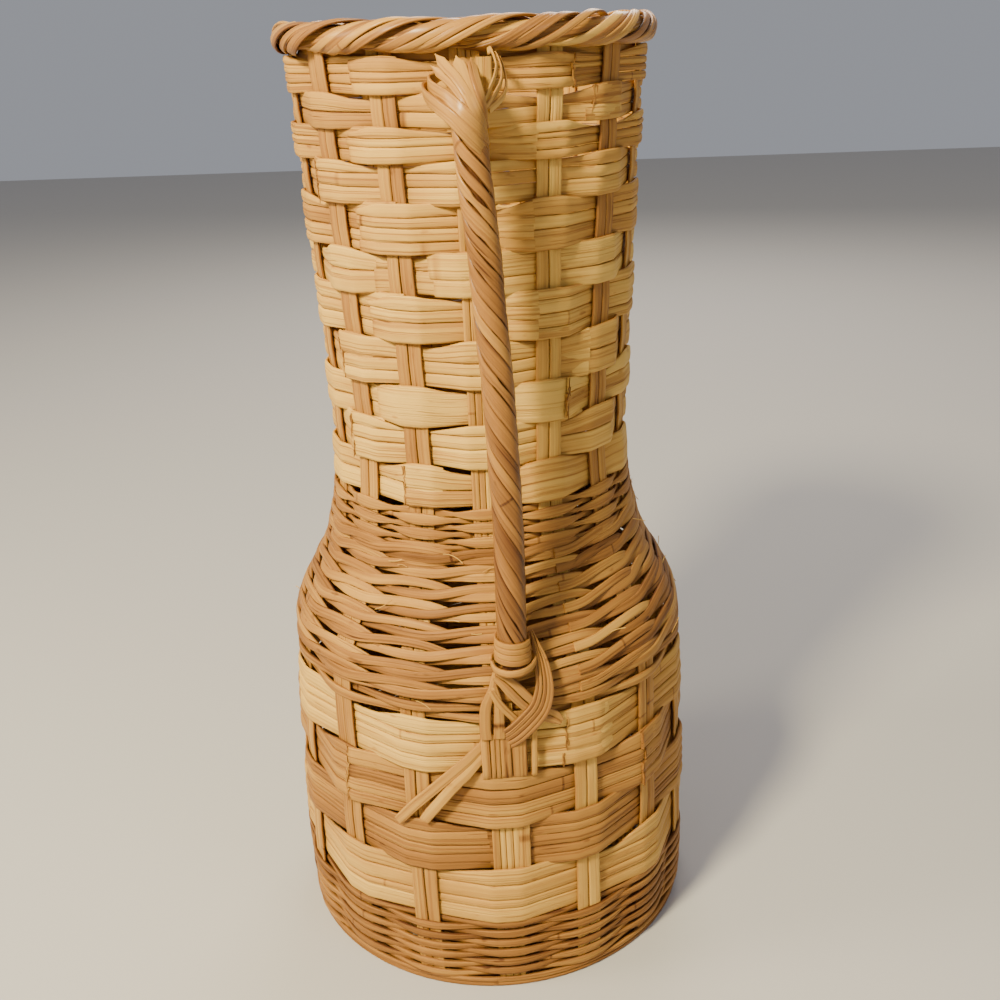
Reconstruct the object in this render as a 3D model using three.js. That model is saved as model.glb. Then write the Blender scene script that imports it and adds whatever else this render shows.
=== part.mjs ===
import * as THREE from 'three';

// Woven reed pitcher vase, in millimetres. The origin is the centre of the foot on the floor, +Z is up and
// the handle faces -Y. Angles round the vase start at the handle side and grow towards +X.

// Reeds
const stakeCount = 16;
const stakeWidthAtFoot = 14;
const stakeWidthAtMouth = 12.4;
const stakeThickness = 1.4;
const reedThickness = 1.6;
const gap = 0.3;
const edgeClearance = 0.8;

// Sections of the wall, from the floor up: fine foot weave, four body rows, fine weave over the shoulder, the
// slope and the collar, eleven neck rows, and the rolled rim
const footWeaveHeight = 48.3;
const bodyRowHeight = 30;
const bodyRowShares = [1.05, 0.98, 1.033, 1];
const shoulderWeaveHeight = 36.8;
const slopeWeaveHeight = 36.8;
const collarWeaveHeight = 31;
const neckRowHeight = 20;
const neckRowShares = [1.015, 1.08, 0.965, 1.13, 1.09, 1.005, 1.09, 0.915, 0.735, 0.735, 0.735];
const footTurns = 5;
const shoulderTurns = 3;
const slopeTurns = 3;
const collarTurns = 3;

// Outside radius of the foot, and how much wider or narrower the wall is at each main height after it
const footRadius = 115.7;
const bellySwell = 1.1;
const bodyTaper = 4.8;
const shoulderTurnDepth = 33;
const shoulderTurnIn = 8.4;
const slopeDepth = 64;
const slopeIn = 14.7;
const collarIn = 7.3;
const waistRise = 30;
const waistIn = 1;
const neckRise = 132;
const neckSwell = 3.6;
const mouthSwell = 3.9;

// Stakes stand upright at the foot; towards the mouth they lean to one side and spread from the handle
const firstStakeAngle = 4;
const leanAtMouth = -4;
const spreadAtMouth = 8;

// Base
const hoopHeight = 3;
const hoopWidth = 12.5;
const stakeBendRadius = 3;
const stakeInnerRadius = 44.5;
const baseMatInset = 11.7;
const baseMatThickness = 2.2;
const baseHubDepth = 2.8;

// Rolled rim
const rimHoopRadius = 2;
const rimStrandWidth = 8.2;
const rimStrandThickness = 4.3;
const rimCrossings = 16;
const rimRounds = 3;

// Handle: a cane rod wound with flat reeds
const handleCoreRadius = 5.2;
const handleStrandThickness = 1.5;
const handleStrandWidth = 6;
const handleStrands = 4;
const handleTurns = 6;
const handleStandOff = 23.4;
const handleBendRadius = 24;
const handleTopDrop = 8.1;
const handleLean = 13.5;
const handleFootRise = 30.3;
const handleLeanRise = 15.2;
const strandRootDistance = 5.5;

// Bindings and lashings at the two ends of the handle
const bindingReedWidth = 2.8;
const bindingPitch = 3.3;
const upperBindingTurns = 3;
const upperBindingRise = 11;
const lowerBindingTurns = 2;
const lowerBindingRise = 1.9;
const legWidth = 12.6;
const rightLegWidth = 10.6;
const lashingReedWidth = 8;
const narrowReedWidth = 4;
const crescentWidth = 9.6;
const tailWidth = 10;
const topLoopWidth = 7;
const crescentRise = 34;
const tailDrop = 62;
const topLoopDrop = 20;
const topLoopBulge = 5;

const degrees = Math.PI / 180;
const fullTurn = 2 * Math.PI;
const sum = (numbers) => numbers.reduce((total, value) => total + value, 0);

const bodyRowHeights = bodyRowShares.map((share) => share * bodyRowHeight);
const neckRowHeights = neckRowShares.map((share) => share * neckRowHeight);

const footTop = footWeaveHeight;
const bodyTop = footTop + sum(bodyRowHeights);
const shoulderTop = bodyTop + shoulderWeaveHeight;
const slopeTop = shoulderTop + slopeWeaveHeight;
const collarTop = slopeTop + collarWeaveHeight;
const neckTop = collarTop + sum(neckRowHeights);

const bellyRadius = footRadius + bellySwell;
const shoulderRadius = bellyRadius - bodyTaper;
const shoulderTurnRadius = shoulderRadius - shoulderTurnIn;
const slopeRadius = shoulderTurnRadius - slopeIn;
const collarRadius = slopeRadius - collarIn;
const waistRadius = collarRadius - waistIn;
const neckRadius = waistRadius + neckSwell;
const mouthRadius = neckRadius + mouthSwell;

// The wall's outline as heights and outside radii, joined by smooth curves
const outline = [
  [0, footRadius],
  [footTop, bellyRadius],
  [bodyTop, shoulderRadius],
  [bodyTop + shoulderTurnDepth, shoulderTurnRadius],
  [bodyTop + slopeDepth, slopeRadius],
  [collarTop, collarRadius],
  [collarTop + waistRise, waistRadius],
  [collarTop + neckRise, neckRadius],
  [neckTop, mouthRadius],
];

function outlineSlope(index) {
  const before = outline[Math.max(index - 1, 0)];
  const after = outline[Math.min(index + 1, outline.length - 1)];
  return (after[1] - before[1]) / (after[0] - before[0]);
}

function outsideRadius(height) {
  const last = outline.length - 2;
  const found = outline.findIndex((point, index) => index <= last && height <= outline[index + 1][0]);
  const index = found < 0 ? last : found;
  const [low, radiusLow] = outline[index];
  const [high, radiusHigh] = outline[index + 1];
  const span = high - low;
  const t = (height - low) / span;
  const startWeight = 2 * t ** 3 - 3 * t ** 2 + 1;
  const startSlopeWeight = t ** 3 - 2 * t ** 2 + t;
  const endSlopeWeight = t ** 3 - t ** 2;
  return startWeight * radiusLow + (1 - startWeight) * radiusHigh
    + span * (startSlopeWeight * outlineSlope(index) + endSlopeWeight * outlineSlope(index + 1));
}

// A reed in front of a stake lies weaveLevel outside the wall's middle surface, one behind it as far inside
const weaveLevel = stakeThickness / 2 + gap + reedThickness / 2;
const wallHalf = weaveLevel + reedThickness / 2;

// A place on the wall's middle surface: its point, the way out, the way up along the wall, and the way round
function wallPlace(angle, height, offset = 0) {
  const step = 0.5;
  const slope = (outsideRadius(height + step) - outsideRadius(height - step)) / (2 * step);
  const length = Math.hypot(1, slope);
  const radial = new THREE.Vector3(Math.sin(angle), -Math.cos(angle), 0);
  const up = new THREE.Vector3(0, 0, 1);
  const out = radial.clone().addScaledVector(up, -slope).divideScalar(length);
  const along = radial.clone().multiplyScalar(slope).add(up).divideScalar(length);
  const round = new THREE.Vector3(Math.cos(angle), Math.sin(angle), 0);
  const at = radial.multiplyScalar(outsideRadius(height) - wallHalf).setZ(height).addScaledVector(out, offset);
  return { at, out, along, round };
}

function stakeAngle(stake, height) {
  const atFoot = (firstStakeAngle + stake * 360 / stakeCount) * degrees;
  const lean = leanAtMouth + spreadAtMouth * Math.sin(atFoot);
  return atFoot + lean * degrees * height / neckTop;
}

function stakeWidth(height) {
  return stakeWidthAtFoot + (stakeWidthAtMouth - stakeWidthAtFoot) * height / neckTop;
}

// Cross-sections of reeds as shares of their width and thickness
const flatReed = [[-0.5, -0.5], [0.5, -0.5], [0.5, 0.5], [-0.5, 0.5]];
const halfRoundReed = [[-0.5, -0.5], [0.5, -0.5], [0, 0.5]];
const roundReed = (sides) => Array.from({ length: sides }, (_, side) => [
  Math.cos(fullTurn * side / sides) / 2,
  Math.sin(fullTurn * side / sides) / 2,
]);

// One closed body from stops along a reed. Each stop gives its middle, the side and out directions of the
// section there, and its width and thickness.
function reedGeometry(stops, section, closed = false) {
  const sides = section.length;
  const corners = stops.flatMap((stop) => section.map(([acrossShare, outShare]) => stop.at.clone()
    .addScaledVector(stop.side, acrossShare * stop.width)
    .addScaledVector(stop.out, outShare * stop.thickness)));
  const faces = [];
  const steps = closed ? stops.length : stops.length - 1;
  for (let step = 0; step < steps; step += 1) {
    const here = step * sides;
    const next = ((step + 1) % stops.length) * sides;
    for (let side = 0; side < sides; side += 1) {
      const other = (side + 1) % sides;
      faces.push([here + side, here + other, next + other]);
      faces.push([here + side, next + other, next + side]);
    }
  }
  if (!closed) {
    const end = (stops.length - 1) * sides;
    for (let side = 1; side < sides - 1; side += 1) {
      faces.push([0, side + 1, side]);
      faces.push([end, end + side, end + side + 1]);
    }
  }
  const triple = new THREE.Vector3();
  const volume = sum(faces.map(([a, b, c]) => triple.crossVectors(corners[b], corners[c]).dot(corners[a])));
  const ordered = volume < 0 ? faces.map(([a, b, c]) => [a, c, b]) : faces;
  const geometry = new THREE.BufferGeometry().setFromPoints(corners);
  geometry.setIndex(ordered.flat());
  geometry.computeVertexNormals();
  return geometry;
}

// Least distance between the turns of a winding, measured on the corner points of its sections
function printLeastGap(name, stops, section, stepsPerTurn) {
  const corners = stops.map((stop) => section.map(([acrossShare, outShare]) => stop.at.clone()
    .addScaledVector(stop.side, acrossShare * stop.width)
    .addScaledVector(stop.out, outShare * stop.thickness)));
  let least = Infinity;
  for (let first = 0; first < corners.length; first += 1) {
    for (let second = first + Math.ceil(stepsPerTurn / 2); second < corners.length; second += 1) {
      for (const point of corners[first]) {
        for (const other of corners[second]) {
          const wrapped = corners.length - second + first < stepsPerTurn / 2;
          least = wrapped ? least : Math.min(least, point.distanceTo(other));
        }
      }
    }
  }
  console.log(`${name}: least gap between its turns ${least.toFixed(2)} mm`);
}

const vase = new THREE.Group();

function addPiece(name, geometry, material) {
  const mesh = new THREE.Mesh(geometry, material);
  mesh.name = name;
  vase.add(mesh);
}

function reedMaterial(color, roughness) {
  return new THREE.MeshStandardMaterial({ color, roughness, metalness: 0 });
}

const strawReed = reedMaterial(0xe4c68c, 0.5);
const honeyReed = reedMaterial(0xd6aa68, 0.5);
const amberReed = reedMaterial(0xbe8c50, 0.5);
const glossyReed = reedMaterial(0xc8924c, 0.35);

const twoDigits = (number) => String(number).padStart(2, '0');

// Foot hoop, with a lip outside the turned stakes, and base mat
const stakeFloor = hoopHeight + gap + stakeThickness / 2;
const stakeBendTop = stakeFloor + stakeBendRadius;
const matBottom = stakeFloor + stakeThickness / 2 + gap;

function footHoopGeometry() {
  const lipOuter = outsideRadius(stakeBendTop);
  const lipInner = lipOuter - reedThickness;
  const lipTop = stakeBendTop - gap;
  const profile = [
    [lipOuter - hoopWidth, 0], [lipOuter, 0], [lipOuter, lipTop], [lipInner, lipTop], [lipInner, hoopHeight],
    [lipOuter - hoopWidth, hoopHeight], [lipOuter - hoopWidth, 0],
  ].map(([radius, height]) => new THREE.Vector2(radius, height));
  return new THREE.LatheGeometry(profile, 3 * stakeCount).rotateX(Math.PI / 2);
}

function baseMatGeometry() {
  const baseMatRadius = footRadius - baseMatInset;
  const hubRadius = stakeInnerRadius - edgeClearance;
  const hubBottom = matBottom - baseHubDepth;
  const profile = [
    [0, hubBottom], [hubRadius, hubBottom], [hubRadius, matBottom], [baseMatRadius, matBottom],
    [baseMatRadius, matBottom + baseMatThickness], [0, matBottom + baseMatThickness],
  ].map(([radius, height]) => new THREE.Vector2(radius, height));
  return new THREE.LatheGeometry(profile, 2 * stakeCount).rotateX(Math.PI / 2);
}

addPiece('foot_hoop', footHoopGeometry(), amberReed);
addPiece('base_mat', baseMatGeometry(), honeyReed);

// Stakes: along the base, round the bend at the foot and up the wall to the rim
const rimMiddleRadius = outsideRadius(neckTop) - wallHalf;
const rimRadius = rimHoopRadius + 2 * gap + rimStrandThickness;
const stakeTop = neckTop + gap;
const rimHeight = stakeTop + gap + rimRadius;

// Heights between which straight stretches stay close to the outline
function outlineHeights(low, high) {
  const allowed = 0.1 * stakeThickness;
  const heights = [low];
  const strays = (start, end) => [0.25, 0.5, 0.75].some((share) => {
    const straight = outsideRadius(start) + share * (outsideRadius(end) - outsideRadius(start));
    return Math.abs(outsideRadius(start + share * (end - start)) - straight) > allowed;
  });
  let end = low;
  for (let height = low; height < high; height += 1) {
    if (strays(heights.at(-1), height)) {
      heights.push(end);
    }
    end = height;
  }
  return [...heights, high];
}

function stakeStops(stake) {
  const bendMiddle = outsideRadius(stakeBendTop) - wallHalf - stakeBendRadius;
  const angle = stakeAngle(stake, 0);
  const radial = new THREE.Vector3(Math.sin(angle), -Math.cos(angle), 0);
  const side = new THREE.Vector3(Math.cos(angle), Math.sin(angle), 0);
  const up = new THREE.Vector3(0, 0, 1);
  const size = { width: stakeWidthAtFoot, thickness: stakeThickness };
  const down = up.clone().negate();
  const stops = [
    { at: radial.clone().multiplyScalar(stakeInnerRadius).setZ(stakeFloor), side, out: down, ...size },
  ];
  const bendSteps = 4;
  for (let step = 0; step < bendSteps; step += 1) {
    const turn = step / bendSteps * Math.PI / 2;
    const out = radial.clone().multiplyScalar(Math.sin(turn)).addScaledVector(up, -Math.cos(turn));
    const at = radial.clone().multiplyScalar(bendMiddle).setZ(stakeBendTop).addScaledVector(out, stakeBendRadius);
    stops.push({ at, side, out, ...size });
  }
  for (const height of outlineHeights(stakeBendTop, stakeTop)) {
    const place = wallPlace(stakeAngle(stake, height), height);
    const width = stakeWidth(height);
    stops.push({ at: place.at, side: place.round, out: place.out, width, thickness: stakeThickness });
  }
  return stops;
}

for (let stake = 0; stake < stakeCount; stake += 1) {
  addPiece(`stake_${twoDigits(stake + 1)}`, reedGeometry(stakeStops(stake), flatReed), honeyReed);
}

// How far the curved wall stands off a straight row there, in front of it and behind it
function wallBulge(place, angle, height, rowHeight) {
  const [below, above] = [-rowHeight / 2, rowHeight / 2].map((rise) => {
    return wallPlace(angle, height + rise).at.sub(place.at).dot(place.out);
  });
  return { front: Math.max(0, below, above), back: Math.max(0, -below, -above) };
}

// A row's two stops at one stake, flat against it. In front of the stake the reeds spread to their full
// height, and they draw together where they go behind it. The row climbs by climb for each millimetre round.
function rowStopsAtStake(stake, middle, climb, fullHeight, inFront, drawnIn) {
  const half = stakeWidth(middle) / 2 + edgeClearance;
  const angle = stakeAngle(stake, middle);
  return [-half, half].map((away) => {
    const height = middle + climb * away;
    const place = wallPlace(angle, height);
    const bulge = wallBulge(place, angle, height, fullHeight);
    const offset = inFront ? weaveLevel + bulge.front : -weaveLevel - bulge.back;
    const at = place.at.addScaledVector(place.round, away).addScaledVector(place.out, offset);
    const width = inFront ? fullHeight : fullHeight * drawnIn;
    return { at, side: place.along, out: place.out, width, thickness: reedThickness };
  });
}

// Wide rows: closed rings, alternately in front of the odd and the even stakes
const rowDrawnIn = 0.86;

function addRows(prefix, bottom, rowHeights, firstInFront, material) {
  let low = bottom;
  rowHeights.forEach((rowHeight, row) => {
    const middle = low + rowHeight / 2;
    const stops = [];
    for (let stake = 0; stake < stakeCount; stake += 1) {
      const inFront = (stake + row) % 2 === firstInFront;
      stops.push(...rowStopsAtStake(stake, middle, 0, rowHeight - 2 * gap, inFront, rowDrawnIn));
    }
    addPiece(`${prefix}_${twoDigits(row + 1)}`, reedGeometry(stops, flatReed, true), material);
    low += rowHeight;
  });
}

addRows('body_row', footTop, bodyRowHeights, 0, strawReed);
addRows('neck_row', collarTop, neckRowHeights, 1, strawReed);

// Fine weave: two reeds chase each other up the wall, half a turn apart, each in front of every other stake
function addWeavers(prefix, low, high, turns, material) {
  const pitch = (high - low) / (2 * turns + 1);
  ['a', 'b'].forEach((letter, weaver) => {
    const firstStake = stakeCount / 4 + weaver * stakeCount / 2;
    const stops = [];
    for (let passed = 0; passed <= turns * stakeCount; passed += 1) {
      const stake = (firstStake + passed) % stakeCount;
      const middle = low + pitch / 2 + 2 * pitch * passed / stakeCount;
      const atEnd = passed === 0 || passed === turns * stakeCount;
      const climb = atEnd ? 0 : 2 * pitch / (fullTurn * outsideRadius(middle));
      const inFront = (stake + weaver) % 2 === 0;
      stops.push(...rowStopsAtStake(stake, middle, climb, pitch - 2 * gap, inFront, 1));
    }
    addPiece(`${prefix}_${letter}`, reedGeometry(stops, halfRoundReed), material);
  });
}

addWeavers('foot_weaver', stakeBendTop, footTop, footTurns, amberReed);
addWeavers('shoulder_weaver', bodyTop, shoulderTop, shoulderTurns, amberReed);
addWeavers('slope_weaver', shoulderTop, slopeTop, slopeTurns, amberReed);
addWeavers('collar_weaver', slopeTop, collarTop, collarTurns, honeyReed);

// Rolled rim: a filler hoop, and one strand that goes round three times and meets itself like a rope
const rimStepsPerWinding = 8;
const rimHoop = new THREE.TorusGeometry(rimMiddleRadius, rimHoopRadius, 6, 3 * stakeCount);
addPiece('rim_hoop', rimHoop.translate(0, 0, rimHeight), honeyReed);

const rimStops = [];
for (let step = 0; step < rimCrossings * rimStepsPerWinding; step += 1) {
  const round = rimRounds * fullTurn * step / (rimCrossings * rimStepsPerWinding);
  const winding = fullTurn * step / rimStepsPerWinding;
  const radial = new THREE.Vector3(Math.sin(round), -Math.cos(round), 0);
  const up = new THREE.Vector3(0, 0, 1);
  const out = radial.clone().multiplyScalar(Math.cos(winding)).addScaledVector(up, Math.sin(winding));
  const side = radial.clone().multiplyScalar(-Math.sin(winding)).addScaledVector(up, Math.cos(winding));
  const distance = rimRadius - rimStrandThickness / 2;
  const at = radial.clone().multiplyScalar(rimMiddleRadius).setZ(rimHeight).addScaledVector(out, distance);
  rimStops.push({ at, side, out, width: rimStrandWidth, thickness: rimStrandThickness });
}
addPiece('rim_strand', reedGeometry(rimStops, roundReed(6).reverse(), true), glossyReed);
printLeastGap('rim_strand', rimStops, roundReed(6), rimStepsPerWinding);

// Handle: from the stake under the rim, round the top bend and down to the shoulder, leaning to the right
const handleTop = neckTop - handleTopDrop;
const handleReach = mouthRadius + handleStandOff;
const handleFootHeight = bodyTop + handleFootRise;
const handleLeanEnd = collarTop + handleLeanRise;
const rootDistance = outsideRadius(handleTop) - wallHalf + stakeThickness / 2 + gap;
const bendStart = handleReach - handleBendRadius;
const bendBottom = handleTop - handleBendRadius;

function handlePoint(travel) {
  const straightTop = Math.max(bendStart - rootDistance, 0);
  const bendLength = handleBendRadius * Math.PI / 2;
  const turned = Math.min(Math.max((travel - straightTop) / handleBendRadius, 0), Math.PI / 2);
  const fallen = Math.max(travel - straightTop - bendLength, 0);
  const before = Math.min(travel, straightTop);
  const reach = Math.min(rootDistance, bendStart) + before + handleBendRadius * Math.sin(turned);
  const height = bendBottom + handleBendRadius * Math.cos(turned) - fallen;
  const share = Math.min(Math.max((handleTop - height) / (handleTop - handleLeanEnd), 0), 1);
  const lean = handleLean * (3 * share ** 2 - 2 * share ** 3);
  return new THREE.Vector3(lean, -reach, height);
}

const handleLength = Math.max(bendStart - rootDistance, 0) + handleBendRadius * Math.PI / 2
  + bendBottom - handleFootHeight;

// The way along the handle and two directions square to it: to the right, and to the front
function handlePlace(travel) {
  const step = 0.5;
  const along = handlePoint(travel + step).sub(handlePoint(travel - step)).normalize();
  const right = new THREE.Vector3(1, 0, 0).addScaledVector(along, -along.x).normalize();
  const front = new THREE.Vector3().crossVectors(right, along).negate();
  return { at: handlePoint(travel), along, right, front };
}

const handleSteps = 22;
const coreStops = [];
for (let step = 0; step <= handleSteps; step += 1) {
  const place = handlePlace(handleLength * step / handleSteps);
  const size = 2 * handleCoreRadius;
  coreStops.push({ at: place.at, side: place.right, out: place.front, width: size, thickness: size });
}
addPiece('handle_core', reedGeometry(coreStops, roundReed(8)), honeyReed);

function windingStops(from, to, turns, stepsPerTurn, radius, width, thickness, startTurn) {
  const steps = Math.round(turns * stepsPerTurn);
  const placeAt = (share) => {
    const place = handlePlace(from + (to - from) * share);
    const turn = fullTurn * (startTurn - turns * share);
    const out = place.right.clone().multiplyScalar(Math.cos(turn)).addScaledVector(place.front, Math.sin(turn));
    return { at: place.at.addScaledVector(out, radius), out };
  };
  const stops = [];
  for (let step = 0; step <= steps; step += 1) {
    const { at, out } = placeAt(step / steps);
    const ahead = placeAt((step + 0.1) / steps).at.sub(placeAt((step - 0.1) / steps).at).normalize();
    const side = new THREE.Vector3().crossVectors(out, ahead).normalize();
    stops.push({ at, side, out, width, thickness });
  }
  return stops;
}

const strandSteps = 12;
const roundedBy = Math.cos(Math.PI / strandSteps);
const strandRadius = (handleCoreRadius + 2 * gap) / roundedBy + handleStrandThickness / 2;
const strandEdgeRadius = Math.hypot(strandRadius + handleStrandThickness / 2, handleStrandWidth / 2);
const strandEnd = handleLength - (upperBindingRise + handleStrandWidth / 2);
for (let strand = 0; strand < handleStrands; strand += 1) {
  const stops = windingStops(strandRootDistance, strandEnd, handleTurns, strandSteps, strandRadius,
    handleStrandWidth, handleStrandThickness, strand / handleStrands);
  addPiece(`handle_strand_${strand + 1}`, reedGeometry(stops, flatReed.toReversed()), glossyReed);
  printLeastGap(`handle_strand_${strand + 1}`, stops, flatReed, strandSteps);
}

function addBinding(name, rise, turns, boundRadius) {
  const low = handleLength - (rise + bindingReedWidth / 2);
  const radius = (boundRadius + gap) / roundedBy + reedThickness / 2;
  const stops = windingStops(low - turns * bindingPitch, low, turns, strandSteps, radius,
    bindingReedWidth, reedThickness, 0.5);
  addPiece(name, reedGeometry(stops, flatReed), honeyReed);
  printLeastGap(name, stops, flatReed, strandSteps);
}

addBinding('upper_binding', upperBindingRise, upperBindingTurns, strandEdgeRadius);
addBinding('lower_binding', lowerBindingRise, lowerBindingTurns, handleCoreRadius);

// Lashings: flat reeds that lie on the wall. A route is a list of angles in degrees, shares of a rise above
// the base height, and distances off the wall's outer face.
function addLashing(name, baseHeight, rise, route, width, steps, material) {
  const places = route.map(([angle, share, lift]) => {
    return wallPlace(angle * degrees, baseHeight + share * rise, wallHalf + gap + reedThickness / 2 + lift);
  });
  const curve = new THREE.CatmullRomCurve3(places.map((place) => place.at), false, 'centripetal');
  const outs = new THREE.CatmullRomCurve3(places.map((place) => place.out), false, 'centripetal');
  const stops = [];
  for (let step = 0; step <= steps; step += 1) {
    const share = step / steps;
    const ahead = curve.getTangent(share);
    const out = outs.getPoint(share).addScaledVector(ahead, -outs.getPoint(share).dot(ahead)).normalize();
    const side = new THREE.Vector3().crossVectors(out, ahead).normalize();
    stops.push({ at: curve.getPoint(share), side, out, width, thickness: reedThickness });
  }
  addPiece(name, reedGeometry(stops, flatReed), material);
}

const layer = reedThickness + gap;
const bulge = topLoopBulge;
const legRise = handleFootRise - gap;

addLashing('leg_left', bodyTop, legRise, [[1, 1, 0], [1, 0.4, 0], [1, -0.95, 0]], legWidth, 8, honeyReed);
addLashing('leg_right', bodyTop, legRise, [[7.6, 1, 0], [7.6, 0.4, 0], [7.6, -0.95, 0]], rightLegWidth, 8,
  honeyReed);
addLashing('cross_splint_wide', bodyTop, legRise, [[1.5, 0.967, layer], [8, 0.567, layer], [14.5, 0.2, layer]],
  lashingReedWidth, 6, glossyReed);
addLashing('cross_splint_narrow', bodyTop, legRise, [[1.5, 0.467, layer], [5, 0.3, layer], [8.5, 0.1, layer]],
  narrowReedWidth, 4, honeyReed);
addLashing('lashing_crescent', bodyTop, crescentRise,
  [[12.5, 1, 2 * layer], [17, 0.44, 2 * layer], [13, -0.03, 2 * layer], [5, -0.38, 2 * layer]],
  crescentWidth, 14, glossyReed);
addLashing('lashing_tail', bodyTop, -tailDrop, [[-6.5, 0.26, 0], [-14, 0.55, 0], [-26, 1, 2 * gap]], tailWidth,
  8, honeyReed);

addLashing('top_loop_left', neckTop, -topLoopDrop,
  [[-6.6, 0.15, 0], [-8.5, 0.25, 0.8 * bulge], [-10.5, 0.6, bulge], [-9.5, 1, 0]], topLoopWidth, 10, glossyReed);
addLashing('top_loop_right', neckTop, -topLoopDrop,
  [[7, 0.15, 0], [9.5, 0.3, 0.8 * bulge], [10.5, 0.65, bulge], [8.5, 1.1, 0]], topLoopWidth, 10, glossyReed);

export default vase;
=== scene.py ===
import itertools
import math

import bmesh
import bpy
import numpy as np
from mathutils import Matrix, Vector


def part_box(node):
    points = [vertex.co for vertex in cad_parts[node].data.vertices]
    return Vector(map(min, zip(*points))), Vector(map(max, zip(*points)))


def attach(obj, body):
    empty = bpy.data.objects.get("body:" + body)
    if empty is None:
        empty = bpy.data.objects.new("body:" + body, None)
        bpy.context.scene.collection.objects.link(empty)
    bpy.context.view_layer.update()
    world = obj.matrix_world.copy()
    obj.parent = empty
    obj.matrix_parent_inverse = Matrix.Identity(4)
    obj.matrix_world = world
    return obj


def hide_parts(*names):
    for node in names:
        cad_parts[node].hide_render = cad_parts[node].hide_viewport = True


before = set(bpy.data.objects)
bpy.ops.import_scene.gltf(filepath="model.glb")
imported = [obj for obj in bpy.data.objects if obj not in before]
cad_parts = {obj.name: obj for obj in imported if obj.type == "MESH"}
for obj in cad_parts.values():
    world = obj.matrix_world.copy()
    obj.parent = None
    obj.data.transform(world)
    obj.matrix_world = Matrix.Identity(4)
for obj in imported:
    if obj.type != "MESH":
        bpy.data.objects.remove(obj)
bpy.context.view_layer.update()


# Camera
# It stands half a metre above the floor in front of the handle, looks down on the vase and leans a little.
photo_width_in_pixels = 1000
focal_length_in_pixels = 1167.4
camera_place = (0.00955, -0.6144, 0.4962)
camera_pitch = math.radians(22.19)
camera_roll = math.radians(-1.97)

camera_data = bpy.data.cameras.new("photo_camera")
camera_data.sensor_width = 36
camera_data.lens = camera_data.sensor_width * focal_length_in_pixels / photo_width_in_pixels
camera = bpy.data.objects.new("photo_camera", camera_data)
bpy.context.scene.collection.objects.link(camera)
look_down = Matrix.Rotation(math.pi / 2 - camera_pitch, 4, "X")
camera.matrix_world = Matrix.Translation(camera_place) @ look_down @ Matrix.Rotation(camera_roll, 4, "Z")
bpy.context.scene.camera = camera


# Floor and light
# A plain pale floor, a strong lamp in front at the upper left, weaker ones at the far left, behind and at
# the right of the neck, and pale light all round.
floor_half = 4
floor_color = (0.51, 0.485, 0.46, 1)
room_color = (0.85, 0.88, 0.97, 1)
room_brightness = 0.36
lamp_target = Vector((0, 0, 0.28))

floor_corners = [(x * floor_half, y * floor_half, 0) for x, y in ((-1, -1), (1, -1), (1, 1), (-1, 1))]
floor_mesh = bpy.data.meshes.new("floor")
floor_mesh.from_pydata(floor_corners, [], [(0, 1, 2, 3)])
floor = bpy.data.objects.new("floor", floor_mesh)
bpy.context.scene.collection.objects.link(floor)
floor_material = bpy.data.materials.new("pale_floor")
floor_material.use_nodes = True
floor_surface = floor_material.node_tree.nodes["Principled BSDF"]
floor_surface.inputs["Base Color"].default_value = floor_color
floor_surface.inputs["Roughness"].default_value = 0.9
floor_mesh.materials.append(floor_material)


def add_lamp(name, place, size, power, color):
    lamp_data = bpy.data.lights.new(name, "AREA")
    lamp_data.shape = "DISK"
    lamp_data.size = size
    lamp_data.energy = power
    lamp_data.color = color
    lamp = bpy.data.objects.new(name, lamp_data)
    lamp.location = place
    lamp.rotation_euler = (lamp_target - lamp.location).to_track_quat("-Z", "Y").to_euler()
    bpy.context.scene.collection.objects.link(lamp)


add_lamp("key_lamp", (-0.62, -0.88, 1.3), size=0.26, power=51, color=(1, 0.88, 0.57))
add_lamp("side_lamp", (-1.6, -0.35, 1.1), size=0.6, power=20, color=(1, 0.9, 0.66))
add_lamp("back_lamp", (0.3, 1.7, 1.5), size=1.2, power=24, color=(1, 0.93, 0.84))
add_lamp("neck_lamp", (0.75, -0.75, 0.95), size=0.5, power=2, color=(0.92, 0.94, 1))

room = bpy.data.worlds.new("pale_room")
room.use_nodes = True
room_light = room.node_tree.nodes["Background"]
room_light.inputs["Color"].default_value = room_color
room_light.inputs["Strength"].default_value = room_brightness
bpy.context.scene.world = room


# Stakes
# Sixteen stakes stand round the vase, each split from one cane into two to four flat reeds. They come from
# under the base, bend round the foot and run up inside the weave to the rolled rim, leaning a little.
mm = 0.001
gap = 0.3 * mm
up = np.array([0, 0, 1])
stake_count = 16
stake_width_at_foot = 14 * mm
stake_width_at_mouth = 12.4 * mm
stake_extra_width = 0.8 * mm
stake_thickness = 1.4 * mm
stake_floor = 4 * mm
stake_bend_radius = 3 * mm
stake_bend_top = stake_floor + stake_bend_radius
stake_inner_radius = 44.5 * mm
stake_give = 0.5 * mm
stake_step = 3.5 * mm
first_stake_angle = 4
lean_at_mouth = -4
spread_at_mouth = 8

foot_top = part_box("body_row_01")[0].z - gap
body_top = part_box("body_row_04")[1].z + gap
collar_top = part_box("neck_row_01")[0].z - gap
neck_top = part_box("neck_row_11")[1].z + gap
stake_top = neck_top + 6 * mm
wall_half = 2.6 * mm

# Heights and outside radii of the wall, from the floor to the rim
outline = np.array([
    (0, 115.7 * mm),
    (foot_top, 116.8 * mm),
    (body_top, 112.6 * mm),
    (body_top + 20 * mm, 110.4 * mm),
    (body_top + 34 * mm, 104.2 * mm),
    (body_top + 64 * mm, 88.9 * mm),
    (collar_top, 81.6 * mm),
    (collar_top + 30 * mm, 80.6 * mm),
    (collar_top + 132 * mm, 84.2 * mm),
    (neck_top, 88.1 * mm),
])

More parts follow.
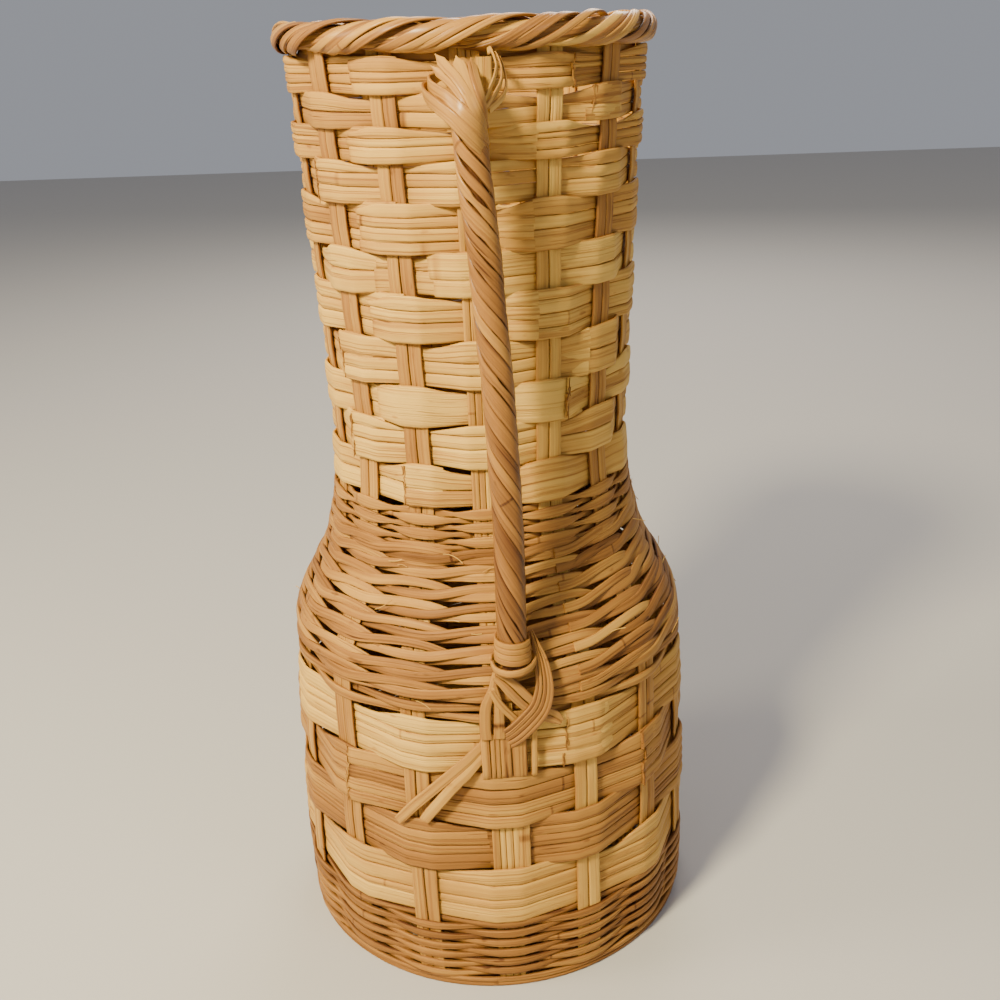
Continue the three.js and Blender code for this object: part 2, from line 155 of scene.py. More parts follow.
# The wide rows from the bottom up. The lowest of the body goes in front of the stake behind the handle and
# every second one from it, the lowest of the neck in front of the others, and each next row changes over.
row_nodes = [f"body_row_{number:02d}" for number in range(1, 5)]
row_nodes += [f"neck_row_{number:02d}" for number in range(1, 12)]
row_boxes = [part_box(node) for node in row_nodes]
row_middles = np.array([(low.z + high.z) / 2 for low, high in row_boxes])
row_heights = np.array([high.z - low.z + 2 * gap for low, high in row_boxes])
row_starts = [0] * 4 + [1] * 11
row_steps = list(range(4)) + list(range(11))


def row_in_front(row, stake):
    return (stake + row_steps[row]) % 2 == row_starts[row]


def unit(vectors):
    return vectors / np.linalg.norm(vectors, axis=-1, keepdims=True)


def radial_way(angle):
    """The level way out from the vase's axis at each angle, counted from the handle towards +X."""
    return np.stack([np.sin(angle), -np.cos(angle), 0 * angle], -1)


def shifted(points, way, distance):
    return points + way * distance[:, None]


def outside_radius(height):
    """Outside radius of the wall at each height, on smooth curves through the outline's points."""
    heights, radii = outline.T
    before = np.maximum(np.arange(len(heights)) - 1, 0)
    after = np.minimum(np.arange(len(heights)) + 1, len(heights) - 1)
    slopes = (radii[after] - radii[before]) / (heights[after] - heights[before])
    index = np.clip(np.searchsorted(heights, height) - 1, 0, len(heights) - 2)
    span = heights[index + 1] - heights[index]
    share = (height - heights[index]) / span
    start = 2 * share ** 3 - 3 * share ** 2 + 1
    start_slope = share ** 3 - 2 * share ** 2 + share
    end_slope = share ** 3 - share ** 2
    bend = span * (start_slope * slopes[index] + end_slope * slopes[index + 1])
    return start * radii[index] + (1 - start) * radii[index + 1] + bend


def wall_place(angle, height):
    """Points on the wall's middle surface, with the ways out of it, up along it and round it."""
    step = 0.5 * mm
    slope = (outside_radius(height + step) - outside_radius(height - step)) / (2 * step)
    length = np.hypot(1, slope)
    zero = np.zeros_like(angle + height)
    radial = radial_way(angle + zero)
    out = (radial - up * slope[..., None]) / length[..., None]
    along = (radial * slope[..., None] + up) / length[..., None]
    sideways = np.stack([np.cos(angle) + zero, np.sin(angle) + zero, zero], -1)
    middle = radial * (outside_radius(height) - wall_half)[..., None] + up * (height + zero)[..., None]
    return middle, out, along, sideways


def stake_angle(stake, height):
    at_foot = np.radians(first_stake_angle + stake * 360 / stake_count)
    lean = lean_at_mouth + spread_at_mouth * np.sin(at_foot)
    return at_foot + np.radians(lean) * height / neck_top


def stake_width(height):
    return stake_width_at_foot + (stake_width_at_mouth - stake_width_at_foot) * height / neck_top


def wander(run, spacing, size, random):
    """A slow random drift along a reed, of up to that size, that turns about once in each spacing."""
    steps = (run - run.min()) / spacing + random.uniform(0, 1)
    whole = np.floor(steps).astype(int)
    share = steps - whole
    share = share ** 2 * (3 - 2 * share)
    values = random.uniform(-size, size, whole.max() + 2)
    return values[whole] * (1 - share) + values[whole + 1] * share


def mark(run, place, reach):
    """A short mark along a reed, from 1 at its place down to 0 a little beyond its reach."""
    return np.exp(-((run - place) / reach) ** 2)


def run_along(points):
    return np.concatenate([[0], np.cumsum(np.linalg.norm(np.diff(points, axis=0), axis=1))])


def lay_reed(middle, side, facing, width, thickness, tone, camber=0.0, closed=False):
    """A reed along the points middle, its width along side, its arched face turned to facing."""
    if closed:
        tangent = np.roll(middle, -1, 0) - np.roll(middle, 1, 0)
    else:
        tangent = np.gradient(middle, axis=0)
    tangent = unit(tangent)
    side = unit(side - tangent * np.sum(side * tangent, -1, keepdims=True))
    out = np.cross(tangent, side)
    out = out * np.sign(np.sum(out * facing, -1, keepdims=True))
    ones = np.ones(len(middle))
    return {
        "middle": middle, "side": side, "out": out, "closed": closed, "tone": tone * ones,
        "width": width * ones, "thickness": thickness * ones, "camber": camber * ones,
        "run": run_along(middle),
    }


class Wire:
    """An output socket in a node tree. Arithmetic on it adds Math nodes, and node() adds any other node."""

    def __init__(self, tree, socket=None):
        self.tree = tree
        self.socket = socket

    def node(self, kind, sockets, output=0, stops=(), **settings):
        made = self.tree.nodes.new(kind)
        for setting, value in settings.items():
            setattr(made, setting, value)
        for index, (position, color) in enumerate(stops):
            elements = made.color_ramp.elements
            element = elements[index] if index < len(elements) else elements.new(position)
            element.position = position
            element.color = color
        for name, value in sockets.items():
            if isinstance(value, Wire):
                self.tree.links.new(value.socket, made.inputs[name])
            else:
                made.inputs[name].default_value = value
        return Wire(self.tree, made.outputs[output] if made.outputs else None)

    def math(self, operation, *values):
        return self.node("ShaderNodeMath", dict(enumerate(values)), operation=operation)

    def parts(self):
        """The three numbers of a vector."""
        return [self.node("ShaderNodeSeparateXYZ", {0: self}, output=index) for index in range(3)]

    def __add__(self, other):
        return self.math("ADD", self, other)

    def __sub__(self, other):
        return self.math("SUBTRACT", self, other)

    def __rsub__(self, other):
        return self.math("SUBTRACT", other, self)

    def __mul__(self, other):
        return self.math("MULTIPLY", self, other)

    def __pow__(self, other):
        return self.math("POWER", self, other)

    def __abs__(self):
        return self.math("ABSOLUTE", self)

    __radd__ = __add__
    __rmul__ = __mul__


def reed_sweep_tree():
    """Sweeps a rounded flat section along each line of points, as wide, as thick and turned as they say."""
    tree = bpy.data.node_groups.new("reed_sweep", "GeometryNodeTree")
    tree.is_modifier = True
    inputs = {"Geometry": "Geometry", "Corners": "Int", "Roundness": "Float", "Material": "Material"}
    for name, kind in inputs.items():
        tree.interface.new_socket(name, in_out="INPUT", socket_type="NodeSocket" + kind)
    tree.interface.new_socket("Geometry", in_out="OUTPUT", socket_type="NodeSocketGeometry")
    entry = tree.nodes.new("NodeGroupInput")
    geometry, corners, roundness, material = (Wire(tree, entry.outputs[name]) for name in inputs)
    node = geometry.node

    def read(name):
        return node("GeometryNodeInputNamedAttribute", {"Name": name}, data_type="FLOAT_VECTOR")

    def store(target, name, value):
        return node("GeometryNodeStoreNamedAttribute", {"Geometry": target, "Name": name, "Value": value},
                    data_type="FLOAT_VECTOR", domain="POINT")

    def joined(x, y, z):
        return node("ShaderNodeCombineXYZ", {0: x, 1: y, 2: z})

    def scaled(vector, factor):
        return node("ShaderNodeVectorMath", {0: vector, "Scale": factor}, operation="SCALE")

    def added(one, other):
        return node("ShaderNodeVectorMath", {0: one, 1: other}, operation="ADD")

    position = node("GeometryNodeInputPosition", {})
    rails = store(node("GeometryNodeMeshToCurve", {"Mesh": geometry}), "rail", position)
    circle = node("GeometryNodeCurvePrimitiveCircle", {"Resolution": corners, "Radius": 1.0})
    circle_x, circle_y, _ = position.parts()
    share_x, share_y = (value.math("SIGN", value) * abs(value) ** roundness for value in (circle_x, circle_y))
    circle = store(circle, "share", joined(share_x, share_y, 0.0))
    swept = node("GeometryNodeCurveToMesh", {"Curve": rails, "Profile Curve": circle, "Fill Caps": True})
    share_across, share_out, _ = read("share").parts()
    half_width, half_thickness, camber = read("half_size").parts()
    run, number, tone = read("track").parts()
    across = half_width * share_across
    away = half_thickness * share_out - camber * share_across * share_across
    placed = added(read("rail"), added(scaled(read("side"), across), scaled(read("out"), away)))
    swept = node("GeometryNodeSetPosition", {"Geometry": swept, "Position": placed})
    swept = store(swept, "fibre", joined(run, across, number))
    swept = store(swept, "face", joined(share_across, share_out, tone))
    for name in ("rail", "share", "half_size", "track", "side", "out"):
        swept = node("GeometryNodeRemoveAttribute", {"Geometry": swept, "Name": name})
    face_corners = node("GeometryNodeInputMeshFaceNeighbors", {})
    is_side = node("FunctionNodeCompare", {"A": face_corners, "B": 4}, data_type="INT",
                   operation="LESS_EQUAL")
    smooth = node("GeometryNodeSetShadeSmooth", {0: swept, "Selection": is_side, "Shade Smooth": True})
    whole = node("GeometryNodeRealizeInstances", {0: smooth})
    finished = node("GeometryNodeSetMaterial", {"Geometry": whole, "Material": material})
    leave = tree.nodes.new("NodeGroupOutput")
    tree.links.new(finished.socket, leave.inputs[0])
    return tree


def reed_lines(name, reeds):
    """A mesh of the reeds' middle lines, whose points carry what the sweep reads."""
    lengths = [len(reed["middle"]) for reed in reeds]
    edges = []
    first = 0
    for reed, length in zip(reeds, lengths):
        edges += [(first + step, first + step + 1) for step in range(length - 1)]
        if reed["closed"]:
            edges.append((first + length - 1, first))
        first += length
    joined = {key: np.concatenate([reed[key] for reed in reeds]) for key in reeds[0] if key != "closed"}
    numbers = np.repeat([next(reed_numbers) for _ in reeds], lengths)
    carried = {
        "side": joined["side"],
        "out": joined["out"],
        "half_size": np.stack([joined["width"] / 2, joined["thickness"] / 2, joined["camber"]], -1),
        "track": np.stack([joined["run"], numbers, joined["tone"]], -1),
    }
    mesh = bpy.data.meshes.new(name)
    mesh.from_pydata(joined["middle"].tolist(), edges, [])
    for key, vectors in carried.items():
        attribute = mesh.attributes.new(key, "FLOAT_VECTOR", "POINT")
        attribute.data.foreach_set("vector", vectors.astype(np.float32).ravel())
    return mesh


reed_sweep = reed_sweep_tree()
reed_numbers = itertools.count()
finishes = {}


def plait(name, reeds, slot, nodes, corners=12, roundness=0.55):
    """One piece of the vase from its reeds, in the slot's finish and in place of those CAD nodes."""
    carrier = bpy.data.objects.new(name + "_carrier", reed_lines(name, reeds))
    bpy.context.scene.collection.objects.link(carrier)
    sweep = carrier.modifiers.new("reed_sweep", "NODES")
    sweep.node_group = reed_sweep
    items = reed_sweep.interface.items_tree
    sockets = {item.name: item.identifier for item in items if item.in_out == "INPUT"}
    sweep[sockets["Corners"]] = corners
    sweep[sockets["Roundness"]] = roundness
    sweep[sockets["Material"]] = finishes[slot]
    bpy.context.view_layer.update()
    depsgraph = bpy.context.evaluated_depsgraph_get()
    mesh = bpy.data.meshes.new_from_object(carrier.evaluated_get(depsgraph), preserve_all_data_layers=True,
                                           depsgraph=depsgraph)
    bpy.data.objects.remove(carrier)
    turned = bmesh.new()
    turned.from_mesh(mesh)
    bmesh.ops.recalc_face_normals(turned, faces=turned.faces)
    turned.to_mesh(mesh)
    turned.free()
    mesh.name = name
    piece = bpy.data.objects.new(name, mesh)
    bpy.context.scene.collection.objects.link(piece)
    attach(piece, "root")
    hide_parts(*nodes)


# Colours of split cane from its palest to its darkest tone
cane_colors = [
    (0.0, (0.71, 0.435, 0.098, 1)),
    (0.3, (0.525, 0.272, 0.057, 1)),
    (0.6, (0.33, 0.145, 0.034, 1)),
    (1.0, (0.09, 0.03, 0.009, 1)),
]
joints_per_metre = 2.2
reed_offset = 7.31
joint_offset = 3.7


def reed_material(name, roughness=0.52, coat=0.0, grain_depth=0.3 * mm, groove_strength=0.08,
                  grain_strength=0.5, dark_smoothness=0.0):
    """Split cane: long fibres, slow changes of colour, a joint now and then, and painted shade along the
    edges.
    """
    material = bpy.data.materials.new(name)
    material.use_nodes = True
    tree = material.node_tree
    tree.nodes.clear()
    node = Wire(tree).node

    def grain(along_scale, across_scale, detail):
        place = node("ShaderNodeCombineXYZ",
                     {0: run * along_scale, 1: across * across_scale, 2: number * reed_offset})
        return node("ShaderNodeTexNoise", {"Vector": place, "Scale": 1.0, "Detail": detail}) - 0.5

    def between(value, low, high):
        return node("ShaderNodeMapRange", {"Value": value, "From Min": low, "From Max": high},
                    interpolation_type="SMOOTHSTEP")

    run, across, number = node("ShaderNodeAttribute", {}, output=1, attribute_name="fibre").parts()
    share_across, _, tone = node("ShaderNodeAttribute", {}, output=1, attribute_name="face").parts()
    fibres = grain(8, 880, 3)
    coarse_fibres = grain(9, 380, 2)
    clouds = grain(28, 90, 3)
    slow_changes = grain(7, 0, 1)
    grooves = between(grain(5, 760, 1), 0.04, 0.14)
    stain = between(grain(70, 220, 2), 0.17, 0.27)
    crack = between(grain(26, 620, 1), 0.2, 0.27)
    # Painted shade: a band along both edges of each reed, standing in for the shade in the gaps between
    # reeds; the band also roughens the surface there.
    edge_shade = between(abs(share_across), 0.88, 1.0)
    joint = node("ShaderNodeTexVoronoi", {"W": run * joints_per_metre + number * joint_offset, "Scale": 1.0},
                 feature="DISTANCE_TO_EDGE", voronoi_dimensions="1D")
    joint_line = 1 - between(joint, 0.0006, 0.0022)
    streaks = (fibres + coarse_fibres * 0.7 + clouds * 0.7) * (1 - tone * dark_smoothness)
    # Colour depth: edge_shade adds painted shade at the reed's edges, the other terms are the cane's own
    # colour.
    depth = (tone + grooves * groove_strength + streaks * grain_strength + slow_changes * 0.35
             + edge_shade * 0.26 + joint_line * 0.22 + stain * 0.25 + crack * 0.3)
    color = node("ShaderNodeValToRGB", {0: depth}, stops=cane_colors)
    height = fibres * 0.7 - grooves * 0.9 + coarse_fibres * 1.2 + joint_line * 0.8 - crack * 1.0
    normal = node("ShaderNodeBump", {"Height": height, "Strength": 0.6, "Distance": grain_depth})
    sheen = fibres * 0.25 + clouds * 0.12 + edge_shade * 0.1 + roughness
    surface = node("ShaderNodeBsdfPrincipled", {
        "Base Color": color, "Roughness": sheen, "Normal": normal, "Coat Weight": coat,
        "Coat Roughness": 0.28, "Specular IOR Level": 0.12})
    node("ShaderNodeOutputMaterial", {"Surface": surface})
    return material


finishes["honey_reed"] = reed_material("honey_reed")

# The stake behind the handle is split in four, a few others in three and the rest in two
stake_splits = {0: 4, 3: 3, 6: 3, 10: 3, 13: 3}
stake_partings = {0: 0.12 * mm}

# Tones of the stakes that stand out from the others
stake_tones = {0: 0.3, 1: 0.22, 2: 0.44, 14: 0.45, 15: 0.42}

# Degrees, lower and upper end, lift, width, tone and height of the knot of each spare reed
spare_reed_places = [
    (8.2, 68 * mm, 118 * mm, 0.8 * mm, 6.6 * mm, 0.3, 99 * mm),
    (5.9, neck_top - 23 * mm, neck_top - 0.5 * mm, 2.3 * mm, 7 * mm, 0.2, 0),
]


def stake_line(stake):
    """A stake's middle line from under the base up into the rim, with its ways out and sideways."""
    heights = np.arange(stake_bend_top, stake_top, stake_step)
    middle, out, _, sideways = wall_place(stake_angle(stake, heights), heights)
    pushed = [-stake_give if row_in_front(row, stake) else stake_give for row in range(len(row_nodes))]
    middle = shifted(middle, out, np.interp(heights, row_middles, pushed))
    foot_angle = stake_angle(stake, 0)
    foot_side = np.array([math.cos(foot_angle), math.sin(foot_angle), 0])
    radial = radial_way(foot_angle)
    bend_middle = outside_radius(stake_bend_top) - wall_half - stake_bend_radius
    turns = np.radians(np.arange(0, 90, 15))
    bend_out = radial * np.sin(turns)[:, None] - up * np.cos(turns)[:, None]
    bend = radial * bend_middle + up * stake_bend_top + bend_out * stake_bend_radius
    under = radial * np.linspace(stake_inner_radius, bend_middle, 16)[:-1, None] + up * stake_floor
    middle = np.concatenate([under, bend, middle])
    out = np.concatenate([np.tile(-up, (len(under), 1)), bend_out, out])
    sideways = np.concatenate([np.tile(foot_side, (len(under) + len(bend), 1)), sideways])
    return middle, out, sideways


def stake_reeds(stake):
    """The flat reeds of one stake, with uneven slits between them."""
    random = np.random.default_rng(100 + stake)
    middle, out, sideways = stake_line(stake)
    width = stake_width(middle[:, 2]) + stake_extra_width * (middle[:, 2] > stake_bend_top)
    run = run_along(middle)
    splits = stake_splits.get(stake, 2)
    parting = stake_partings.get(stake, 0.3 * mm)
    lines = [cut * width + (wander(run, 0.07, 0.6 * mm, random) if 0 < index < splits else 0)
             for index, cut in enumerate(np.linspace(-0.5, 0.5, splits + 1))]
    slits = [0.1 * mm + np.abs(wander(run, 0.05, parting, random)) for _ in range(splits + 1)]
    made = []
    for index in range(splits):
        left = lines[index] + slits[index] / 2
        right = lines[index + 1] - slits[index + 1] / 2
        lift = wander(run, 0.06, 0.3 * mm, random)
        place = shifted(shifted(middle, sideways, (left + right) / 2), out, lift)
        tone = stake_tones.get(stake, 0.35) + random.uniform(-0.09, 0.09) + wander(run, 0.1, 0.1, random)
        made.append(lay_reed(place, sideways, out, right - left, stake_thickness, tone))
    return made


def spare_reeds():
    """Two short reeds beside the stake behind the handle, one low on the body and one under the rim."""
    made = []
    for degrees, low, high, lift, width, tone, knot in spare_reed_places:
        heights = np.arange(low, high, 2 * mm)
        middle, out, _, sideways = wall_place(np.radians(degrees), heights)
        tones = tone + 0.5 * mark(heights, knot, 1.5 * mm)
        made.append(lay_reed(middle + out * lift, sideways, out, width, stake_thickness, tones))
    return made


for stake in range(stake_count):
    reeds = stake_reeds(stake) + (spare_reeds() if stake == 0 else [])
    plait(f"stake_reeds_{stake + 1:02d}", reeds, "honey_reed", [f"stake_{stake + 1:02d}"])


# Base
# The stakes' inner ends are held by a hub of twelve flat reeds, plaited six by six, and by two round reeds
# that go round and round between hub and foot, over one stake and under the next.
base_weave_inner = 47 * mm
base_weave_outer = 103 * mm
base_weave_pitch = 3.4 * mm
base_weave_depth = 1.5 * mm
base_reed_width = 3.1 * mm
base_reed_thickness = 2 * mm
hub_reeds = 6
hub_reed_pitch = 14 * mm
hub_reed_width = 12.6 * mm
hub_reed_thickness = 1.1 * mm
hub_wave = 0.8 * mm


def base_reeds():
    random = np.random.default_rng(7)
    made = []
    turns = (base_weave_outer - base_weave_inner) / (2 * base_weave_pitch)
    for weaver in range(2):
        passed = np.arange(0, turns * stake_count, 1 / 6)
        radial = radial_way(stake_angle(passed + 8 * weaver, 0))
        radius = base_weave_inner + base_weave_pitch * (2 * passed / stake_count + weaver)
        level = np.clip(1.5 * np.cos(math.pi * (passed + weaver)), -1, 1) * base_weave_depth
        middle = shifted(shifted(up * stake_floor, up, level), radial, radius)
        tone = 0.45 + wander(passed, 9, 0.12, random)
        made.append(lay_reed(middle, radial, up, base_reed_width, base_reed_thickness, tone))
    for way, side in ((0, 1), (1, 0)):
        for number in range(hub_reeds):
            away = (number - (hub_reeds - 1) / 2) * hub_reed_pitch
            reach = math.sqrt(base_weave_inner ** 2 - away ** 2)
            along = np.arange(-reach, reach, 2 * mm)
            points = np.empty((len(along), 3))
            points[:, way] = along
            points[:, side] = away
            points[:, 2] = stake_floor + np.sin(math.pi * (along / hub_reed_pitch + number + way)) * hub_wave
            tone = 0.3 + random.uniform(-0.1, 0.1)
            made.append(lay_reed(points, np.eye(3)[side], up, hub_reed_width, hub_reed_thickness, tone))
    return made


plait("base_weave", base_reeds(), "honey_reed", ["base_mat"])


# Foot hoop
# Five thick reeds bent to rings: two one above the other outside the turned stakes, and three under them.
# The vase stands on the lower four.
finishes["amber_reed"] = reed_material("amber_reed")
lip_radius = outside_radius(stake_bend_top)
ring_angles = np.linspace(0, 2 * math.pi, 240, endpoint=False)

# How far inside the lip each ring lies, its height, thickness and width, in mm
hoop_rings = [
    (2.4, 1.6, 2.4, 3.1),
    (1.9, 4.8, 2.3, 3.2),
    (4.9, 1.55, 3.1, 3.1),
    (8.1, 1.55, 3.1, 3.1),
    (11.2, 1.55, 3.0, 3.1),
]


def ring_reed(radius, height, width, thickness, tone):
    """A reed bent to a level ring."""
    radial = radial_way(ring_angles)
    middle = shifted(up * height, radial, radius + 0 * ring_angles)
    return lay_reed(middle, up + 0 * radial, radial, width, thickness, tone, closed=True)


def foot_hoop_reeds():
    random = np.random.default_rng(17)
    made = []
    for inset, height, thickness, width in hoop_rings:
        radius = lip_radius - inset * mm + 0.15 * mm * np.sin(5 * ring_angles + inset)
        tone = 0.66 + random.uniform(-0.08, 0.08)
        made.append(ring_reed(radius, height * mm, width * mm, thickness * mm, tone))
    return made


plait("foot_hoop_rings", foot_hoop_reeds(), "amber_reed", ["foot_hoop"], roundness=0.8)


# Fine weave of foot and collar
# Two thin reeds chase each other up the wall, each in front of every other stake, so that they lie in a plain
# weave. A reed lies flat at every stake and turns on edge between two, where it dives to the other side.
weave_level = 2.0 * mm
stake_clearance = 0.8 * mm

# Slot, roundness, first seed and measures of each pair
plain_weaves = {
    "foot": ("amber_reed", 0.55, 21, dict(
        low=stake_bend_top - 2 * mm, high=foot_top, rows=12, width=5.4 * mm, thickness=2.2 * mm,
        crossing_share=0.6, uneven=0.35 * mm, tone=0.65)),
    "collar": ("honey_reed", 0.45, 51, dict(
        low=body_top + 72.2 * mm, high=collar_top, rows=8, width=6.7 * mm, thickness=1.6 * mm,
        crossing_share=0.37, uneven=0.3 * mm, tone=0.54)),
}


def smoothed(values, times):
    """The values with their bends rounded off, the first and the last left as they are."""
    values = values.copy()
    for _ in range(times):
        values[1:-1] = (values[:-2] + 2 * values[1:-1] + values[2:]) / 4
    return values


def weft_path(passed, heights, offsets, widths, climb, flat_steps=3, span_steps=8, soften=3, creases=0,
              lifts=0):
    """The way of a reed past the stakes: flat against each, straight between them, with rounded bends."""
    half = stake_width(heights) / 2 + stake_clearance
    angle = stake_angle(passed, heights)
    edges = np.stack([-half, half], 1) + creases
    raised = np.stack([offsets, offsets], 1) + lifts
    stops, ways, faces, places = [], [], [], []
    for away, rise in zip(edges.T, raised.T):
        middle, out, along, sideways = wall_place(angle, heights + climb * away)
        stops.append(shifted(shifted(middle, sideways, away), out, rise))
        ways.append(along)
        faces.append(out)
        places.append(passed + away / (outside_radius(heights) * 2 * math.pi / stake_count))
    shared = [np.stack(pair, 1).reshape(2 * len(passed), -1) for pair in (stops, ways, faces, places)]
    shared += [np.repeat(values, 2)[:, None] for values in (offsets, widths)]
    table = np.concatenate(shared, 1)
    rows = []
    for index in range(len(table) - 1):
        steps = flat_steps if index % 2 == 0 else span_steps
        share = np.arange(steps)[:, None] / steps
        rows.append(table[index] * (1 - share) + table[index + 1] * share)
    rows.append(table[-1:])
    table = smoothed(np.concatenate(rows), soften)
    return table[:, :3], unit(table[:, 3:6]), unit(table[:, 6:9]), table[:, 9], table[:, 10], table[:, 11]


def far_side(places):
    """How far round the vase a place is, from 0 at the handle to 1 opposite, where the reeds lie closer."""
    return (1 - np.cos(2 * math.pi * places / stake_count)) / 2


def plain_weaver(weaver, low, high, rows, width, thickness, crossing_share, uneven, tone, seed):
    """One of a pair of thin reeds that climb together through that many rows of plain weave."""
    random = np.random.default_rng(seed)
    pitch = (high - low) / rows
    turns = rows / 2
    first = stake_count // 4 + weaver * stake_count // 2
    passed = np.arange(0, turns * stake_count + 0.5)
    level = low + pitch * (0.5 + weaver * (turns == 1))
    rise = 2 * pitch * (turns - 0.5) / turns * (turns > 1)
    heights = level + rise * passed / stake_count
    offsets = np.where((passed + first + weaver) % 2 == 0, weave_level, -weave_level)
    climb = rise / (2 * math.pi * outside_radius(heights))
    path = weft_path(passed + first, heights, offsets, 0 * heights, climb, span_steps=6)
    middle, along, out, places, offset, _ = path
    cover = offset / weave_level
    middle = shifted(middle, along, wander(places, 1.3, uneven, random))
    middle = shifted(middle, out, wander(places, 0.9, 0.25 * mm, random))
    width = width * (crossing_share + (1 - crossing_share) * np.abs(cover) ** 1.5) * (1 - 0.1 * (cover < 0))
    width = width * (0.94 + 0.26 * far_side(places))
    width = width + wander(places, 1.7, 0.4 * uneven + 0.1 * mm, random)
    # Painted shade: the reed is made darker where it goes behind a stake, in the shade of the weave.
    tone = tone + wander(places, 5, 0.13, random) + 0.04 * (1 - cover)
    return lay_reed(middle, along, out, width, thickness, tone)


for part, (slot, roundness, seed, measures) in plain_weaves.items():
    for weaver, letter in enumerate("ab"):
        reed = plain_weaver(weaver, seed=seed + weaver, **measures)
        plait(f"{part}_weave_{letter}", [reed], slot, [f"{part}_weaver_{letter}"], roundness=roundness)


# Fine weave of shoulder and slope
# Three thin reeds work their way round together. Each goes in front of two stakes and behind the third, under
# the other two, so that two of them hide every stake. They are uneven, and new reeds start with a cut end.
wale_bottom = body_top + 9.2 * mm
slope_top = body_top + 82.8 * mm
wale_step = 9.2 * mm
wale_rounds = 8
wale_first = stake_count // 2
wale_margin = 1.5 * mm
cut_end_stake = 1
cut_end_lead = 0.14
cut_end_overlap = 0.3
cut_end_lift = 0.9 * mm
wale_thickness = 1.7 * mm
wale_camber = 0.15 * mm
packing_width = 5.4 * mm
packing_inset = 1.9 * mm
fibre_count = 28

# Level, rise and width of a reed at each of the three stakes that it passes in turn
wale_states = (
    (-weave_level, -0.33 * wale_step, 4.8 * mm),
    (weave_level, -0.1 * wale_step, 6.0 * mm),
    (weave_level, 0.4 * wale_step, 5.4 * mm),
)


def fade(away, length):
    """1 at a reed's end, and 0 from that length on."""
    return np.clip(1 - away / length, 0, 1)


def wale_reeds():
    """The three reeds from the top down, each in several lengths. Returns those of slope and of shoulder."""
    random = np.random.default_rng(31)
    halfway = wale_first + wale_rounds * stake_count / 2
    slope, shoulder = [], []
    for reed in range(3):
        passed = np.arange(0, wale_rounds * stake_count + 1)
        state = (passed + reed) % 3
        offsets, shifts, widths = np.array(wale_states)[state].T
        fallen = np.clip((passed - stake_count / 2) / stake_count, 0, wale_rounds - 1)
        uneven = random.uniform(-0.5, 0.5, len(passed)) * mm
        heights = slope_top - wale_step * (fallen + 0.5) + shifts + uneven
        heights = np.clip(heights, wale_bottom + wale_margin, slope_top - wale_margin)
        path = weft_path(passed + wale_first, heights, offsets, widths, 0 * heights)
        middle, along, out, places, offset, width = path
        cover = offset / weave_level
        middle = shifted(middle, along, wander(places, 1.1, 0.6 * mm, random))
        middle = shifted(middle, out, wander(places, 0.8, 0.4 * mm, random))
        width = width * (0.88 + 0.12 * np.abs(cover)) + wander(places, 1.4, 0.6 * mm, random)
        width = width * (0.85 + 0.35 * far_side(places))
        # Painted shade: the reed is made darker where it goes behind a stake, in the shade of the weave.
        reed_tone = 0.57 + wander(places, 3, 0.2, random) + 0.06 * (1 - cover)
        emerging = (state == 1) & ((passed + wale_first) % stake_count == cut_end_stake)
        cut_ends = (passed + wale_first)[emerging] - cut_end_lead
        cuts = sorted([places[0] - 1, halfway, places[-1] + 1, *cut_ends])
        for start, end in itertools.pairwise(cuts):
            inside = (places >= start) & (places <= end + cut_end_overlap)
            lift = np.clip(weave_level + cut_end_lift - offset, 0, 1) * fade(places - start, 0.5)
            sink = cut_end_lift * fade(end + cut_end_overlap - places, 0.5)
            raised = shifted(middle, out, lift - sink)
            tones = reed_tone - 0.5 * mark(places, start, 0.03)
            made = slope if start < halfway else shoulder
            made.append(lay_reed(raised[inside], along[inside], out[inside], width[inside], wale_thickness,
                                 tones[inside], wale_camber))
    return slope, shoulder


def packing_reed(widest, thinnest, height):
    """A short reed that fills the step at an end of the wale, between its widest and its thinnest place."""
    passed = np.arange(min(widest, thinnest), max(widest, thinnest) + 1)
    heights = height + 0.0 * passed
    offsets = np.where(passed % 2 == 0, weave_level, -weave_level)
    widths = np.interp(passed, *zip(*sorted([(widest, packing_width), (thinnest, 1.2 * mm)])))
    middle, along, out, _, _, width = weft_path(passed, heights, offsets, widths, 0 * heights)
    return lay_reed(middle, along, out, width, 1.5 * mm, 0.55)


def stray_fibres():
    """Hair-thin fibres that have come loose from the reeds and stand off the wall."""
    random = np.random.default_rng(34)
    share = np.linspace(0, 1, 9)
    made = []
    for _ in range(fibre_count):
        place = random.uniform(0, stake_count)
        height = random.uniform(wale_bottom, slope_top)
        length = random.uniform(5, 11) * mm * random.choice([-1, 1])
        middle, out, along, sideways = wall_place(stake_angle(place, height), np.array([height]))
        slant, curl, lift = random.uniform(-0.6, 0.6), random.uniform(-0.5, 0.5), random.uniform(0.1, 0.3)
        away = sideways * share[:, None] + along * (slant * share + curl * share ** 2)[:, None]
        off_wall = wall_half + 0.4 * mm + abs(length) * lift * share ** 2
        points = shifted(middle + away * length, out, off_wall)
        made.append(lay_reed(points, along + 0 * points, out + 0 * points, 0.4 * mm, 0.3 * mm, 0.2))
    return made


slope_reeds, shoulder_reeds = wale_reeds()
slope_reeds.append(packing_reed(9, 1, slope_top - packing_inset))
shoulder_reeds.append(packing_reed(7, 15, wale_bottom + packing_inset))
shoulder_reeds += [
    plain_weaver(weaver, low=body_top, high=wale_bottom, rows=2, width=5.5 * mm, thickness=1.9 * mm,
                 crossing_share=0.78, uneven=0.4 * mm, tone=0.52, seed=33)
    for weaver in (0, 1)
]
shoulder_reeds += stray_fibres()
for part, reeds in (("shoulder", shoulder_reeds), ("slope", slope_reeds)):
    plait(f"{part}_weave", reeds, "amber_reed", [f"{part}_weaver_a", f"{part}_weaver_b"], roundness=0.45)


